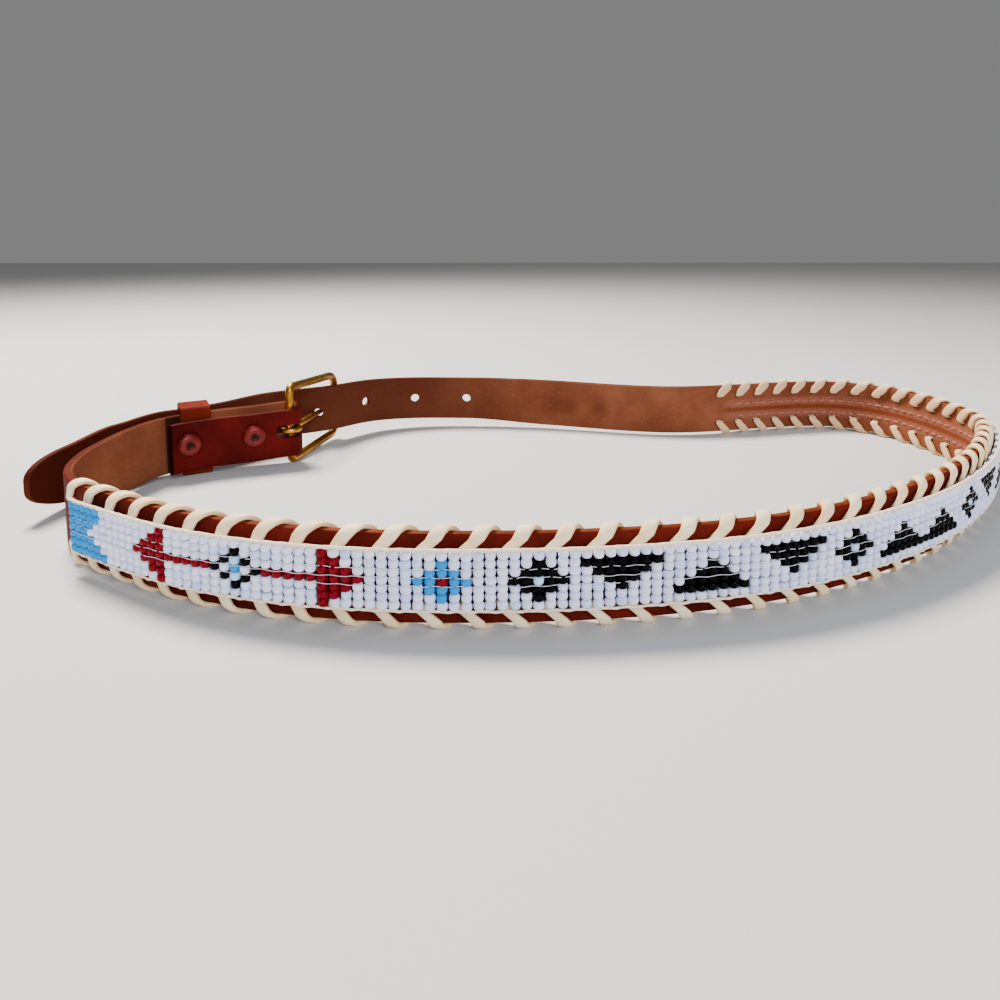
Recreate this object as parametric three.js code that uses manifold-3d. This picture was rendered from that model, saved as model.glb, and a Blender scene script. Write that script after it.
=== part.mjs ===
// A beaded leather belt, buckled into a loop and standing on its lower edge.
// One strap runs from the folded-back buckle end, round the waist, to the tongue's tip.
// A band of loomed beads lies on its outer face, and a flat lace is whipped over each long edge.
// Millimetres, +Z up. The belt's length runs along X, its front faces -Y.

import * as THREE from 'three';
import { mergeGeometries, mergeVertices } from 'three/addons/utils/BufferGeometryUtils.js';
import Module from 'manifold-3d';

const wasm = await Module();
wasm.setup();

// Clearance between pieces that touch
const GAP = 0.3;

// Loop, measured on the middle of the leather
const LOOP_LENGTH = 324;
const LOOP_DEPTH = 184;

// Leather strap
const STRAP_WIDTH = 22;
const STRAP_THICKNESS = 2.4;
const BILLET_WIDTH = 20.3;
const BILLET_LENGTH = 236;
const SHOULDER_LENGTH = 40;
const TONGUE_REACH = 89.5;
const TONGUE_SPRING = 15;
const TIP_LENGTH = 25;
const TIP_END_WIDTH = 5;
const FOLD_LENGTH = 48;
const FOLD_WIDTH = 19.2;
const FOLD_INSET = 0.6;

// Tongue holes
const HOLE_DIAMETER = 4;
const HOLE_SPACING = 25.4;
const HOLE_COUNT = 5;
const HOLES_PAST_PRONG = 1;

// Edge lacing
const LACE_WIDTH = 3.1;
const LACE_THICKNESS = 1.1;
const LACE_PITCH = 9.85;
const LACE_INSET = 5;
const LACE_FROM_HEEL = 121.5;
const LACED_LENGTH = 492;

// Loomed bead band
const BEAD_DIAMETER = 2.7;
const BAND_WIDTH = 15.4;
const BAND_ABOVE_EDGE = 4.7;
const BAND_INSET = 6.2;

// Buckle
const FRAME_HEIGHT = 33.5;
const FRAME_LENGTH = 42;
const FRAME_WIRE = 3.4;
const FRAME_CORNER = 5;
const FRAME_HEEL_CORNER = 2.2;
const FRAME_TAPER = 1.5;
const PRONG_WIRE = 2.6;
const PRONG_OVERLAP = 5;
const PRONG_SLOT_HEIGHT = 5.4;

// Keeper loop
const KEEPER_WIDTH = 11;
const KEEPER_THICKNESS = 1.6;
const KEEPER_FROM_HEEL = 35.5;

// Snaps
const SNAP_DIAMETER = 9;
const SNAP_DOME = 1.6;
const SNAP_POST = 3.2;
const SNAP_BACK = 8;
const SNAP_BACK_THICKNESS = 1;
const SNAP_FROM_HEEL = 14.3;
const SNAP_SPACING = 24.7;
const SNAP_RISE = 1;

// Fineness of the facets
const TURN_PER_STEP = THREE.MathUtils.degToRad(6);
const LONGEST_STEP = 10;
const ROUND_SIDES = 12;
const WIRE_SIDES = 8;
const TIP_STEPS = 8;
const SAME_POINT = 0.0003;

// Plan of the loop from the heel bar round to the buckle's front bar, as shares of its length and depth
const PLAN = [
  { long: -0.355, deep: 0.184 },
  { long: -0.421, deep: 0.131 },
  { long: -0.474, deep: 0.083 },
  { long: -0.494, deep: 0.008 },
  { long: -0.500, deep: -0.074 },
  { long: -0.500, deep: -0.155 },
  { long: -0.487, deep: -0.242 },
  { long: -0.454, deep: -0.315 },
  { long: -0.397, deep: -0.374 },
  { long: -0.325, deep: -0.440 },
  { long: -0.220, deep: -0.490 },
  { long: -0.103, deep: -0.502 },
  { long: 0.019, deep: -0.487 },
  { long: 0.127, deep: -0.445 },
  { long: 0.215, deep: -0.378 },
  { long: 0.298, deep: -0.290 },
  { long: 0.366, deep: -0.190 },
  { long: 0.415, deep: -0.098 },
  { long: 0.464, deep: 0.016 },
  { long: 0.490, deep: 0.114 },
  { long: 0.491, deep: 0.250 },
  { long: 0.472, deep: 0.378 },
  { long: 0.414, deep: 0.465 },
  { long: 0.324, deep: 0.451 },
  { long: 0.247, deep: 0.421 },
  { long: 0.165, deep: 0.398 },
  { long: 0.075, deep: 0.424 },
  { long: -0.020, deep: 0.467 },
  { long: -0.120, deep: 0.489 },
  { long: -0.212, deep: 0.485 },
  { long: -0.281, deep: 0.432 },
  { long: -0.315, deep: 0.352 },
  { long: -0.359, deep: 0.297 },
];

// How far the tongue springs off the strap behind it: past is a share of the tongue's reach,
// spring a share of its greatest spring beyond what the keeper holds
const TONGUE = [
  { past: 0.10, spring: 0.87 },
  { past: 0.24, spring: 0.39 },
  { past: 0.40, spring: 0.05 },
  { past: 0.54, spring: 0.19 },
  { past: 0.67, spring: 0.42 },
  { past: 0.80, spring: 0.58 },
  { past: 0.92, spring: 0.72 },
  { past: 1.00, spring: 0.88 },
];

// Height of the strap's lower edge: at is a share of its length from the heel bar to the tip,
// lift is a share of what the buckle frame raises it by
const LIFT = [
  { at: 0.00, lift: 1.00 },
  { at: 0.02, lift: 0.66 },
  { at: 0.05, lift: 0.30 },
  { at: 0.12, lift: 0.00 },
  { at: 0.68, lift: 0.00 },
  { at: 0.79, lift: 0.45 },
  { at: 0.88, lift: 1.25 },
  { at: 0.94, lift: 0.80 },
  { at: 0.96, lift: 0.05 },
  { at: 0.98, lift: -0.80 },
  { at: 1.00, lift: -0.40 },
];

// One turn of the lace round an edge: along is a share of the pitch, corner its place across the leather
const LACE_TURN = [
  { along: 0.00, corner: 'inner slot' },
  { along: 0.00, corner: 'outer slot' },
  { along: 0.46, corner: 'outer shoulder' },
  { along: 0.50, corner: 'outer crest' },
  { along: 0.61, corner: 'inner crest' },
  { along: 0.65, corner: 'inner shoulder' },
];

// Half profile of a snap's cap, from its eye to its rim: wide is a share of its diameter, high of its dome
const SNAP_CAP = [
  { wide: 0.00, high: 0.33 },
  { wide: 0.17, high: 0.33 },
  { wide: 0.17, high: 0.85 },
  { wide: 0.33, high: 1.00 },
  { wide: 0.46, high: 0.60 },
  { wide: 0.50, high: 0.00 },
];

const UP = new THREE.Vector3(0, 0, 1);

// Sizes that follow from the ones above
const laceOffset = GAP + LACE_THICKNESS / 2;
const laceMiddle = STRAP_THICKNESS / 2 + laceOffset;
const laceLean = Math.atan(LACE_TURN[2].along * LACE_PITCH / LACE_INSET);
// Cutting a corner of the lace off by this much leaves the same clearance there as over the flat
const laceCorner = (2 - Math.SQRT2) * laceOffset;
const restHeight = GAP + LACE_THICKNESS;
const wireRound = FRAME_WIRE / 2 / Math.cos(Math.PI / WIRE_SIDES);
const heelRadius = wireRound + GAP + STRAP_THICKNESS / 2;
const keeperFold = STRAP_THICKNESS + KEEPER_THICKNESS + 3 * GAP;
const tongueHold = STRAP_THICKNESS + SNAP_BACK_THICKNESS + 4 * GAP;
const bandBack = STRAP_THICKNESS / 2 + LACE_THICKNESS + 2 * GAP;
const heelLift = FRAME_WIRE + GAP - restHeight;
const heelMiddle = FRAME_WIRE + GAP + STRAP_WIDTH / 2;
const billetStep = STRAP_WIDTH - BILLET_WIDTH;

// A smooth plan curve through chosen points: a cubic B-spline whose control points are each pushed
// out by a sixth of the bend at that point, so that the curve passes by the points themselves
class PlanCurve extends THREE.Curve {
  constructor(points) {
    super();
    this.controls = extend(extend(points).slice(1, -1).map((point, i, all) => {
      const before = all[i - 1] ?? point.clone().multiplyScalar(2).sub(all[i + 1]);
      const after = all[i + 1] ?? point.clone().multiplyScalar(2).sub(all[i - 1]);
      const bend = before.clone().add(after).addScaledVector(point, -2);
      return point.clone().addScaledVector(bend, -1 / 6);
    }));
    this.spans = points.length - 1;
    this.arcLengthDivisions = this.spans * 60;
  }

  getPoint(t, target = new THREE.Vector3()) {
    const span = Math.min(Math.floor(t * this.spans), this.spans - 1);
    const u = t * this.spans - span;
    const weights = [
      (1 - u) ** 3,
      3 * u ** 3 - 6 * u ** 2 + 4,
      -3 * u ** 3 + 3 * u ** 2 + 3 * u + 1,
      u ** 3,
    ];
    target.set(0, 0, 0);
    weights.forEach((weight, i) => target.addScaledVector(this.controls[span + i], weight / 6));
    return target;
  }
}

function extend(points) {
  const first = points[0].clone().multiplyScalar(2).sub(points[1]);
  const last = points.at(-1).clone().multiplyScalar(2).sub(points.at(-2));
  return [first, ...points, last];
}

// Where a length along a curve lies: its point, its direction and the side that faces out
function frameOn(curve, length, total) {
  const share = THREE.MathUtils.clamp(length / total, 0, 1);
  const point = curve.getPointAt(share);
  const ahead = curve.getTangentAt(share);
  const beyond = length - share * total;
  point.addScaledVector(ahead, beyond);
  return { point, ahead, out: new THREE.Vector3(ahead.y, -ahead.x, 0) };
}

const loopPoints = PLAN.map(({ long, deep }) => new THREE.Vector3(long * LOOP_LENGTH, deep * LOOP_DEPTH, 0));
const loopCurve = new PlanCurve(loopPoints);
const loopLength = loopCurve.getLength();

// The tongue follows the strap that lies behind it, at the spring that the table gives
const tonguePoints = TONGUE.map(({ past, spring }) => {
  const behind = frameOn(loopCurve, past * TONGUE_REACH, loopLength);
  return behind.point.addScaledVector(behind.out, tongueHold + spring * TONGUE_SPRING);
});
const strapCurve = new PlanCurve([...loopPoints, ...tonguePoints]);
const strapLength = strapCurve.getLength();
const onStrap = (length) => frameOn(strapCurve, length, strapLength);

// Reads a value from a table's rows, blended smoothly between one row and the next
function readTable(rows, key, value, x) {
  const next = rows.findIndex((row) => row[key] > x);
  if (next === 0) return rows[0][value];
  if (next < 0) return rows.at(-1)[value];
  const [a, b] = [rows[next - 1], rows[next]];
  const blend = THREE.MathUtils.smoothstep(x, a[key], b[key]);
  return THREE.MathUtils.lerp(a[value], b[value], blend);
}

// The fold-back lies inside the strap: round the heel bar, then closing on the keeper's inner leg
const heel = onStrap(0);
const barMiddle = heel.point.clone().addScaledVector(heel.out, -heelRadius);
const bendLength = Math.PI * heelRadius;

function foldSpread(length) {
  const keeperStart = KEEPER_FROM_HEEL - KEEPER_WIDTH / 2;
  const share = THREE.MathUtils.clamp(length / keeperStart, 0, 1);
  return THREE.MathUtils.lerp(2 * heelRadius, keeperFold, share);
}

// The whole strap by one length: negative in the fold-back and its bend, positive from the heel on
function layStrap(length) {
  if (length >= 0) return onStrap(length);
  if (length > -bendLength) {
    const turn = Math.PI * (1 + length / bendLength);
    const out = heel.out.clone().multiplyScalar(-Math.cos(turn)).addScaledVector(heel.ahead, -Math.sin(turn));
    const point = barMiddle.clone().addScaledVector(out, heelRadius);
    return { point, ahead: new THREE.Vector3(-out.y, out.x, 0), out };
  }
  const back = -length - bendLength;
  const main = onStrap(back);
  const point = main.point.addScaledVector(main.out, -foldSpread(back));
  return { point, ahead: main.ahead.negate(), out: main.out.negate() };
}

// The strap's edges: lower edge and width at a length
function strapBottom(length) {
  const place = Math.abs(length < 0 ? Math.min(length + bendLength, 0) : length);
  const raised = restHeight + heelLift * readTable(LIFT, 'at', 'lift', place / strapLength);
  const fold = THREE.MathUtils.smoothstep(-length, 0, bendLength) * FOLD_INSET;
  return raised + fold + billetShare(length) * billetStep;
}

function billetShare(length) {
  const shoulder = strapLength - BILLET_LENGTH;
  return THREE.MathUtils.smoothstep(length, shoulder, shoulder + SHOULDER_LENGTH);
}

function strapWidth(length) {
  const fold = THREE.MathUtils.smoothstep(-length, 0, bendLength);
  const width = STRAP_WIDTH - fold * (STRAP_WIDTH - FOLD_WIDTH) - billetShare(length) * billetStep;
  const intoTip = Math.max(0, length - (strapLength - TIP_LENGTH)) / TIP_LENGTH;
  const round = Math.sqrt(Math.max(0, 1 - intoTip ** 2));
  return THREE.MathUtils.lerp(TIP_END_WIDTH, width, round);
}

function strapMiddle(length) {
  const narrow = STRAP_WIDTH - billetShare(length) * billetStep - Math.min(strapWidth(length), STRAP_WIDTH);
  const tip = length > strapLength - TIP_LENGTH ? narrow / 2 : 0;
  return strapBottom(length) + tip + strapWidth(length) / 2;
}

// Lengths at which a swept piece gets a section: closer where the strap turns
function stepsBetween(start, end) {
  const steps = [start];
  const fine = STRAP_THICKNESS / 4;
  let last = layStrap(start).ahead;
  for (let length = start; length < end - fine; length += fine) {
    const { ahead } = layStrap(length);
    const turned = Math.acos(THREE.MathUtils.clamp(ahead.dot(last), -1, 1));
    if (turned > TURN_PER_STEP || length - steps.at(-1) > LONGEST_STEP) {
      steps.push(length);
      last = ahead;
    }
  }
  return [...steps, end];
}

// A closed body from rings of equal count, capped at both ends unless it closes on itself
function skin(rings, closed = false) {
  const count = rings[0].length;
  const positions = rings.flat().flatMap((point) => point.toArray());
  const index = [];
  const spans = closed ? rings.length : rings.length - 1;
  for (let i = 0; i < spans; i += 1) {
    const here = i * count;
    const next = ((i + 1) % rings.length) * count;
    for (let j = 0; j < count; j += 1) {
      const k = (j + 1) % count;
      index.push(here + j, here + k, next + k, here + j, next + k, next + j);
    }
  }
  const end = (rings.length - 1) * count;
  for (let j = 1; !closed && j < count - 1; j += 1) {
    index.push(0, j + 1, j, end, end + j, end + j + 1);
  }
  const geometry = new THREE.BufferGeometry();
  geometry.setAttribute('position', new THREE.Float32BufferAttribute(positions, 3));
  geometry.setIndex(index);
  return facingOut(geometry);
}

// Turns the triangles round where the enclosed volume comes out negative
function facingOut(geometry) {
  const corner = [new THREE.Vector3(), new THREE.Vector3(), new THREE.Vector3()];
  const { position } = geometry.attributes;
  const index = geometry.index.array;
  let volume = 0;
  for (let i = 0; i < index.length; i += 3) {
    corner.forEach((point, j) => point.fromBufferAttribute(position, index[i + j]));
    volume += corner[0].dot(corner[1].cross(corner[2]));
  }
  if (volume < 0) {
    for (let i = 0; i < index.length; i += 3) [index[i + 1], index[i + 2]] = [index[i + 2], index[i + 1]];
  }
  return geometry;
}

// Across a corner between two unit directions, grown so that the thickness stays the same on both sides
function mitre(arriving, leaving) {
  const grow = 1 / (1 + arriving.dot(leaving));
  return arriving.clone().add(leaving).multiplyScalar(grow);
}

// Positions alone, so that corners at one place can be merged
function bareOf(geometry) {
  const bare = geometry.index ? geometry.toNonIndexed() : geometry.clone();
  bare.deleteAttribute('normal');
  bare.deleteAttribute('uv');
  return bare;
}

function together(geometries) {
  return mergeGeometries(geometries.map(bareOf));
}

// Booleans take and give closed solids
function toSolid(geometry) {
  const merged = mergeVertices(bareOf(geometry), SAME_POINT);
  const triVerts = new Uint32Array(merged.index.array);
  const vertProperties = new Float32Array(merged.attributes.position.array);
  return new wasm.Manifold(new wasm.Mesh({ numProp: 3, vertProperties, triVerts }));
}

function toGeometry(solid) {
  const mesh = solid.getMesh();
  const geometry = new THREE.BufferGeometry();
  geometry.setAttribute('position', new THREE.BufferAttribute(new Float32Array(mesh.vertProperties), 3));
  geometry.setIndex(new THREE.BufferAttribute(new Uint32Array(mesh.triVerts), 1));
  return geometry;
}

// Moves a geometry made about the origin to a place: its X, Y and Z go to the three directions
function setAt(geometry, x, y, z, origin) {
  return geometry.applyMatrix4(new THREE.Matrix4().makeBasis(x, y, z).setPosition(origin));
}

// A cylinder or cone whose axis runs between two points
function rod(from, to, startRadius, endRadius = startRadius, sides = ROUND_SIDES) {
  const axis = to.clone().sub(from);
  const geometry = new THREE.CylinderGeometry(endRadius, startRadius, axis.length(), sides);
  const cylinderAxis = new THREE.Vector3(0, 1, 0);
  geometry.applyQuaternion(new THREE.Quaternion().setFromUnitVectors(cylinderAxis, axis.clone().normalize()));
  return geometry.translate(...from.clone().addScaledVector(axis, 0.5).toArray());
}

// A strip of rectangular section that follows the strap between two offsets and two heights
function band(lengths, inner, outer, bottomOf, topOf) {
  return skin(lengths.map((length) => {
    const { point, out } = layStrap(length);
    const corner = (side, height) => point.clone().addScaledVector(out, side).addScaledVector(UP, height);
    const [low, high] = [bottomOf(length), topOf(length)];
    return [corner(inner, low), corner(outer, low), corner(outer, high), corner(inner, high)];
  }));
}

// Lacing: how many turns fit, and where each slot lies
const laceTurns = Math.round(LACED_LENGTH / LACE_PITCH);
const slotLengths = Array.from({ length: laceTurns + 1 }, (_, i) => LACE_FROM_HEEL + i * LACE_PITCH);

function laceSlots() {
  const sizes = [LACE_WIDTH + 2 * GAP, 2 * STRAP_THICKNESS, LACE_THICKNESS + 2 * GAP];
  return slotLengths.flatMap((length) => {
    const { point, ahead, out } = layStrap(length);
    const heights = [strapBottom(length) + LACE_INSET, strapBottom(length) + STRAP_WIDTH - LACE_INSET];
    return heights.map((height) => {
      const box = new THREE.BoxGeometry(...sizes);
      return setAt(box, ahead, out.clone().negate(), UP, point.clone().setZ(height));
    });
  });
}

// One lace: a flat band of slanting turns, through each slot and over the edge to the next
const topEdge = { at: (length) => strapBottom(length) + STRAP_WIDTH, side: 1 };
const bottomEdge = { at: strapBottom, side: -1 };

function lace(edge) {
  const corners = {
    'inner slot': { out: -laceMiddle, over: -LACE_INSET, spread: 1 },
    'outer slot': { out: laceMiddle, over: -LACE_INSET, spread: 1 },
    'outer shoulder': { out: laceMiddle, over: laceOffset - laceCorner, spread: 1 / Math.cos(laceLean) },
    'outer crest': { out: laceMiddle - laceCorner, over: laceOffset, spread: 1 / Math.cos(laceLean) },
    'inner crest': { out: laceCorner - laceMiddle, over: laceOffset, spread: 1 / Math.cos(laceLean) },
    'inner shoulder': { out: -laceMiddle, over: laceOffset - laceCorner, spread: 1 / Math.cos(laceLean) },
  };
  const route = slotLengths.flatMap((start, turn) => {
    const steps = turn < laceTurns ? LACE_TURN : LACE_TURN.slice(0, 2);
    return steps.map(({ along, corner }) => ({ length: start + along * LACE_PITCH, ...corners[corner] }));
  });
  const direction = (a, b) => new THREE.Vector2(b.out - a.out, b.over - a.over).normalize();
  return skin(route.map((here, i) => {
    const arriving = direction(route[Math.max(i - 1, 0)], route[Math.max(i, 1)]);
    const leaving = direction(route[Math.min(i, route.length - 2)], route[Math.min(i + 1, route.length - 1)]);
    const along = mitre(arriving, leaving);
    const thick = new THREE.Vector2(-along.y, along.x).multiplyScalar(LACE_THICKNESS / 2);
    const wide = LACE_WIDTH / 2 * here.spread;
    return [[-1, -1], [1, -1], [1, 1], [-1, 1]].map(([a, b]) => {
      const { point, out } = layStrap(here.length + a * wide);
      const height = edge.at(here.length + a * wide) + edge.side * (here.over + b * thick.y);
      return point.addScaledVector(out, here.out + b * thick.x).setZ(height);
    });
  }));
}

// Buckle: the frame hangs on the heel bar and its front bar lies outside the tongue
const frontBar = findFrontBar();
const frameAhead = frontBar.point.clone().sub(barMiddle).setZ(0).normalize();
const frameSide = frontBar.out.clone().projectOnPlane(frameAhead).normalize();
const prongEnd = findProngEnd();
const holeLengths = Array.from({ length: HOLE_COUNT }, (_, i) => (
  prongEnd.holeLength + (HOLES_PAST_PRONG - i) * HOLE_SPACING
));

function findFrontBar() {
  const aside = STRAP_THICKNESS / 2 + 2 * GAP + wireRound;
  const place = (length) => {
    const { point, out, ahead } = layStrap(length);
    return { length, out, ahead, point: point.clone().addScaledVector(out, aside) };
  };
  let length = loopLength;
  while (place(length).point.distanceTo(barMiddle) < FRAME_LENGTH - FRAME_WIRE) length -= GAP;
  return place(length);
}

function findProngEnd() {
  const rest = wireRound + PRONG_WIRE / 2 + GAP;
  const tip = frontBar.point.clone().addScaledVector(frameSide, rest);
  let holeLength = frontBar.length;
  const line = new THREE.Line3(barMiddle, tip);
  const closest = new THREE.Vector3();
  const away = (length) => {
    const { point } = layStrap(length);
    return line.closestPointToPoint(point, false, closest).distanceTo(point);
  };
  while (away(holeLength + GAP) < away(holeLength)) holeLength += GAP;
  return { tip, holeLength };
}

function strap() {
  const toTip = stepsBetween(-bendLength - FOLD_LENGTH, strapLength - TIP_LENGTH);
  const lengths = [...toTip, ...tipSteps()];
  const half = STRAP_THICKNESS / 2;
  const low = (length) => strapMiddle(length) - strapWidth(length) / 2;
  const high = (length) => strapMiddle(length) + strapWidth(length) / 2;
  const leather = toSolid(band(lengths, -half, half, low, high));
  const cutters = [...laceSlots(), ...tongueHoles(), ...snapHoles(), prongSlot()];
  return toGeometry(leather.subtract(toSolid(together(cutters))));
}

// Sections of the tip lie closer together towards its end, at even turns of its round
function tipSteps() {
  const turns = Array.from({ length: TIP_STEPS }, (_, i) => (i + 1) / TIP_STEPS * Math.PI / 2);
  return turns.map((turn) => strapLength - TIP_LENGTH * (1 - Math.sin(turn)));
}

// Every hole but the prong's own goes straight through
function tongueHoles() {
  const through = STRAP_THICKNESS;
  return holeLengths.filter((length) => length !== prongEnd.holeLength).map((length) => {
    const { point, out } = layStrap(length);
    const middle = point.clone().setZ(strapMiddle(length));
    const from = middle.clone().addScaledVector(out, -through);
    return rod(from, middle.clone().addScaledVector(out, through), HOLE_DIAMETER / 2);
  });
}

// The prong's slot opens the bend round the bar, and its own hole in the tongue leans with it
function prongSlot() {
  const reach = heelRadius + STRAP_THICKNESS;
  const box = new THREE.BoxGeometry(2 * reach, 3 * reach, PRONG_SLOT_HEIGHT);
  const slot = setAt(box, heel.ahead, heel.out.clone().negate(), UP, barMiddle.clone().setZ(heelMiddle));
  const { start, end } = prongLine();
  const shortOfBar = start.clone().lerp(end, 1 / 2);
  const hole = rod(shortOfBar, end, PRONG_WIRE / 2 + 2 * GAP);
  return together([slot, hole]);
}

function prongLine() {
  return { start: barMiddle.clone().setZ(heelMiddle), end: prongEnd.tip.clone().setZ(heelMiddle) };
}

const snapLengths = [SNAP_FROM_HEEL, SNAP_FROM_HEEL + SNAP_SPACING];

function snapHoles() {
  const radius = SNAP_POST / 2 + GAP;
  return snapLengths.map((length) => {
    const { point, out } = layStrap(length);
    const middle = point.clone().setZ(snapHeight(length));
    const from = middle.clone().addScaledVector(out, -foldSpread(length) - STRAP_THICKNESS);
    return rod(from, middle.clone().addScaledVector(out, STRAP_THICKNESS), radius);
  });
}

function snapHeight(length) {
  return strapMiddle(-bendLength - length) + SNAP_RISE;
}

// A snap: domed cap with an eye on the fold-back, a post through the layers, a flat back outside
function snap(length) {
  const { point, out, ahead } = layStrap(length);
  const capFoot = -foldSpread(length) - STRAP_THICKNESS / 2 - 2 * GAP;
  const backFoot = STRAP_THICKNESS / 2 + 2 * GAP;
  const profile = [
    ...SNAP_CAP.map(({ wide, high }) => [wide * SNAP_DIAMETER, capFoot - high * SNAP_DOME]),
    [SNAP_POST / 2, capFoot],
    [SNAP_POST / 2, backFoot],
    [SNAP_BACK / 2, backFoot],
    [SNAP_BACK / 2, backFoot + SNAP_BACK_THICKNESS],
    [0, backFoot + SNAP_BACK_THICKNESS],
  ];
  const geometry = new THREE.LatheGeometry(profile.map(([r, y]) => new THREE.Vector2(r, y)), ROUND_SIDES);
  const placed = setAt(geometry, ahead.clone().negate(), out, UP, point.clone().setZ(snapHeight(length)));
  return toGeometry(toSolid(placed));
}

// Frame: a closed wire in the upright plane through the heel bar and the front bar, lower at the front
function buckleFrame() {
  const wire = FRAME_WIRE / 2;
  const reach = frontBar.point.clone().sub(barMiddle).setZ(0).length();
  const [low, high] = [wire, FRAME_HEIGHT - wire];
  const [heelLow, heelHigh] = [low + FRAME_HEEL_CORNER, high - FRAME_HEEL_CORNER];
  const [frontLow, frontHigh] = [low + FRAME_TAPER + FRAME_CORNER, high - FRAME_TAPER - FRAME_CORNER];
  const quarter = Math.PI / 2;
  const shape = new THREE.Path();
  shape.moveTo(0, heelLow);
  shape.lineTo(0, heelHigh);
  shape.absarc(FRAME_HEEL_CORNER, heelHigh, FRAME_HEEL_CORNER, 2 * quarter, quarter, true);
  shape.absarc(reach - FRAME_CORNER, frontHigh, FRAME_CORNER, quarter, 0, true);
  shape.absarc(reach - FRAME_CORNER, frontLow, FRAME_CORNER, 0, -quarter, true);
  shape.absarc(FRAME_HEEL_CORNER, heelLow, FRAME_HEEL_CORNER, -quarter, -2 * quarter, true);
  const outline = distinct(shape.getPoints(WIRE_SIDES / 2));
  const sideways = new THREE.Vector3(frameAhead.y, -frameAhead.x, 0);
  return skin(outline.map((here, i) => {
    const before = outline.at(i - 1);
    const after = outline[(i + 1) % outline.length];
    const arriving = here.clone().sub(before).normalize();
    const leaving = after.clone().sub(here).normalize();
    const half = mitre(arriving, leaving);
    return Array.from({ length: WIRE_SIDES }, (_, j) => {
      const turn = (j + 0.5) / WIRE_SIDES * 2 * Math.PI;
      const across = wireRound * Math.cos(turn);
      const point = barMiddle.clone().addScaledVector(frameAhead, here.x + half.y * across);
      return point.addScaledVector(sideways, wireRound * Math.sin(turn)).setZ(here.y - half.x * across);
    });
  }), true);
}

function distinct(points) {
  return points.filter((point, i) => point.distanceTo(points.at(i - 1)) > SAME_POINT);
}

// Prong: a ring round the heel bar and a tapered pin that rests on the front bar
function prong() {
  const { start, end } = prongLine();
  const ringMiddle = FRAME_WIRE / 2 + GAP + PRONG_WIRE / 2;
  const ring = new THREE.TorusGeometry(ringMiddle, PRONG_WIRE / 2, WIRE_SIDES, 2 * WIRE_SIDES);
  ring.translate(...start.toArray());
  const ahead = end.clone().sub(start).normalize();
  const from = start.clone().addScaledVector(ahead, ringMiddle);
  const to = end.clone().addScaledVector(ahead, PRONG_OVERLAP / 2);
  const pin = rod(from, to, PRONG_WIRE / 2, PRONG_WIRE / 3);
  return toGeometry(toSolid(ring).add(toSolid(pin)));
}

// Keeper: a flat loop round the strap and the tongue, its inner leg held in the fold
function keeper() {
  const { point, ahead, out } = layStrap(KEEPER_FROM_HEEL);
  const inSlab = (length) => Math.abs(layStrap(length).point.sub(point).dot(ahead)) < KEEPER_WIDTH / 2 + GAP;
  const step = STRAP_THICKNESS / 4;
  const passing = [];
  for (let length = 0; length <= strapLength; length += step) {
    const near = layStrap(length).point.distanceTo(point) < TONGUE_SPRING + KEEPER_WIDTH + tongueHold;
    if (near && inSlab(length)) passing.push(length);
  }
  const asides = passing.map((length) => layStrap(length).point.sub(point).dot(out));
  const lows = passing.map((length) => strapMiddle(length) - strapWidth(length) / 2);
  const highs = passing.map((length) => strapMiddle(length) + strapWidth(length) / 2);
  const inner = {
    left: Math.min(...asides) - STRAP_THICKNESS / 2 - GAP,
    right: Math.max(...asides) + STRAP_THICKNESS / 2 + GAP,
    low: Math.min(...lows) - GAP,
    high: Math.max(...highs) + GAP,
  };
  const outline = (grow, Kind) => {
    const shape = new Kind();
    shape.moveTo(inner.left - grow, inner.low - grow);
    shape.lineTo(inner.right + grow, inner.low - grow);
    shape.lineTo(inner.right + grow, inner.high + grow);
    shape.lineTo(inner.left - grow, inner.high + grow);
    shape.closePath();
    return shape;
  };
  const ring = outline(KEEPER_THICKNESS, THREE.Shape);
  ring.holes.push(outline(0, THREE.Path));
  const geometry = new THREE.ExtrudeGeometry(ring, { depth: KEEPER_WIDTH, bevelEnabled: false });
  geometry.translate(0, 0, -KEEPER_WIDTH / 2);
  const placed = mergeVertices(bareOf(setAt(geometry, out, UP, ahead.clone().negate(), point)), SAME_POINT);
  return toGeometry(toSolid(facingOut(placed)).subtract(toSolid(together(snapHoles()))));
}

// The beads, their threads and the gaps between them as one band
function beadPanel() {
  const lengths = stepsBetween(LACE_FROM_HEEL + BAND_INSET, slotLengths.at(-1) - BAND_INSET);
  const low = (length) => strapBottom(length) + BAND_ABOVE_EDGE;
  return band(lengths, bandBack, bandBack + BEAD_DIAMETER, low, (length) => low(length) + BAND_WIDTH);
}

// Finishes
const leather = { color: '#7a2e1b', roughness: 0.55, metalness: 0 };
const beads = { color: '#dfe3f0', roughness: 0.25, metalness: 0 };
const cream = { color: '#efe0c0', roughness: 0.6, metalness: 0 };
const brass = { color: '#c8962e', roughness: 0.25, metalness: 1 };
const copper = { color: '#a04038', roughness: 0.4, metalness: 0.6 };

const pieces = [
  ['strap', strap(), leather],
  ['bead_panel', beadPanel(), beads],
  ['top_lace', lace(topEdge), cream],
  ['bottom_lace', lace(bottomEdge), cream],
  ['buckle_frame', buckleFrame(), brass],
  ['prong', prong(), brass],
  ['keeper', keeper(), leather],
  ...snapLengths.map((length, i) => [`snap_${i + 1}`, snap(length), copper]),
];

const belt = new THREE.Group();
pieces.forEach(([name, geometry, finish]) => {
  geometry.computeVertexNormals();
  const mesh = new THREE.Mesh(geometry, new THREE.MeshStandardMaterial(finish));
  mesh.name = name;
  belt.add(mesh);
});

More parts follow.
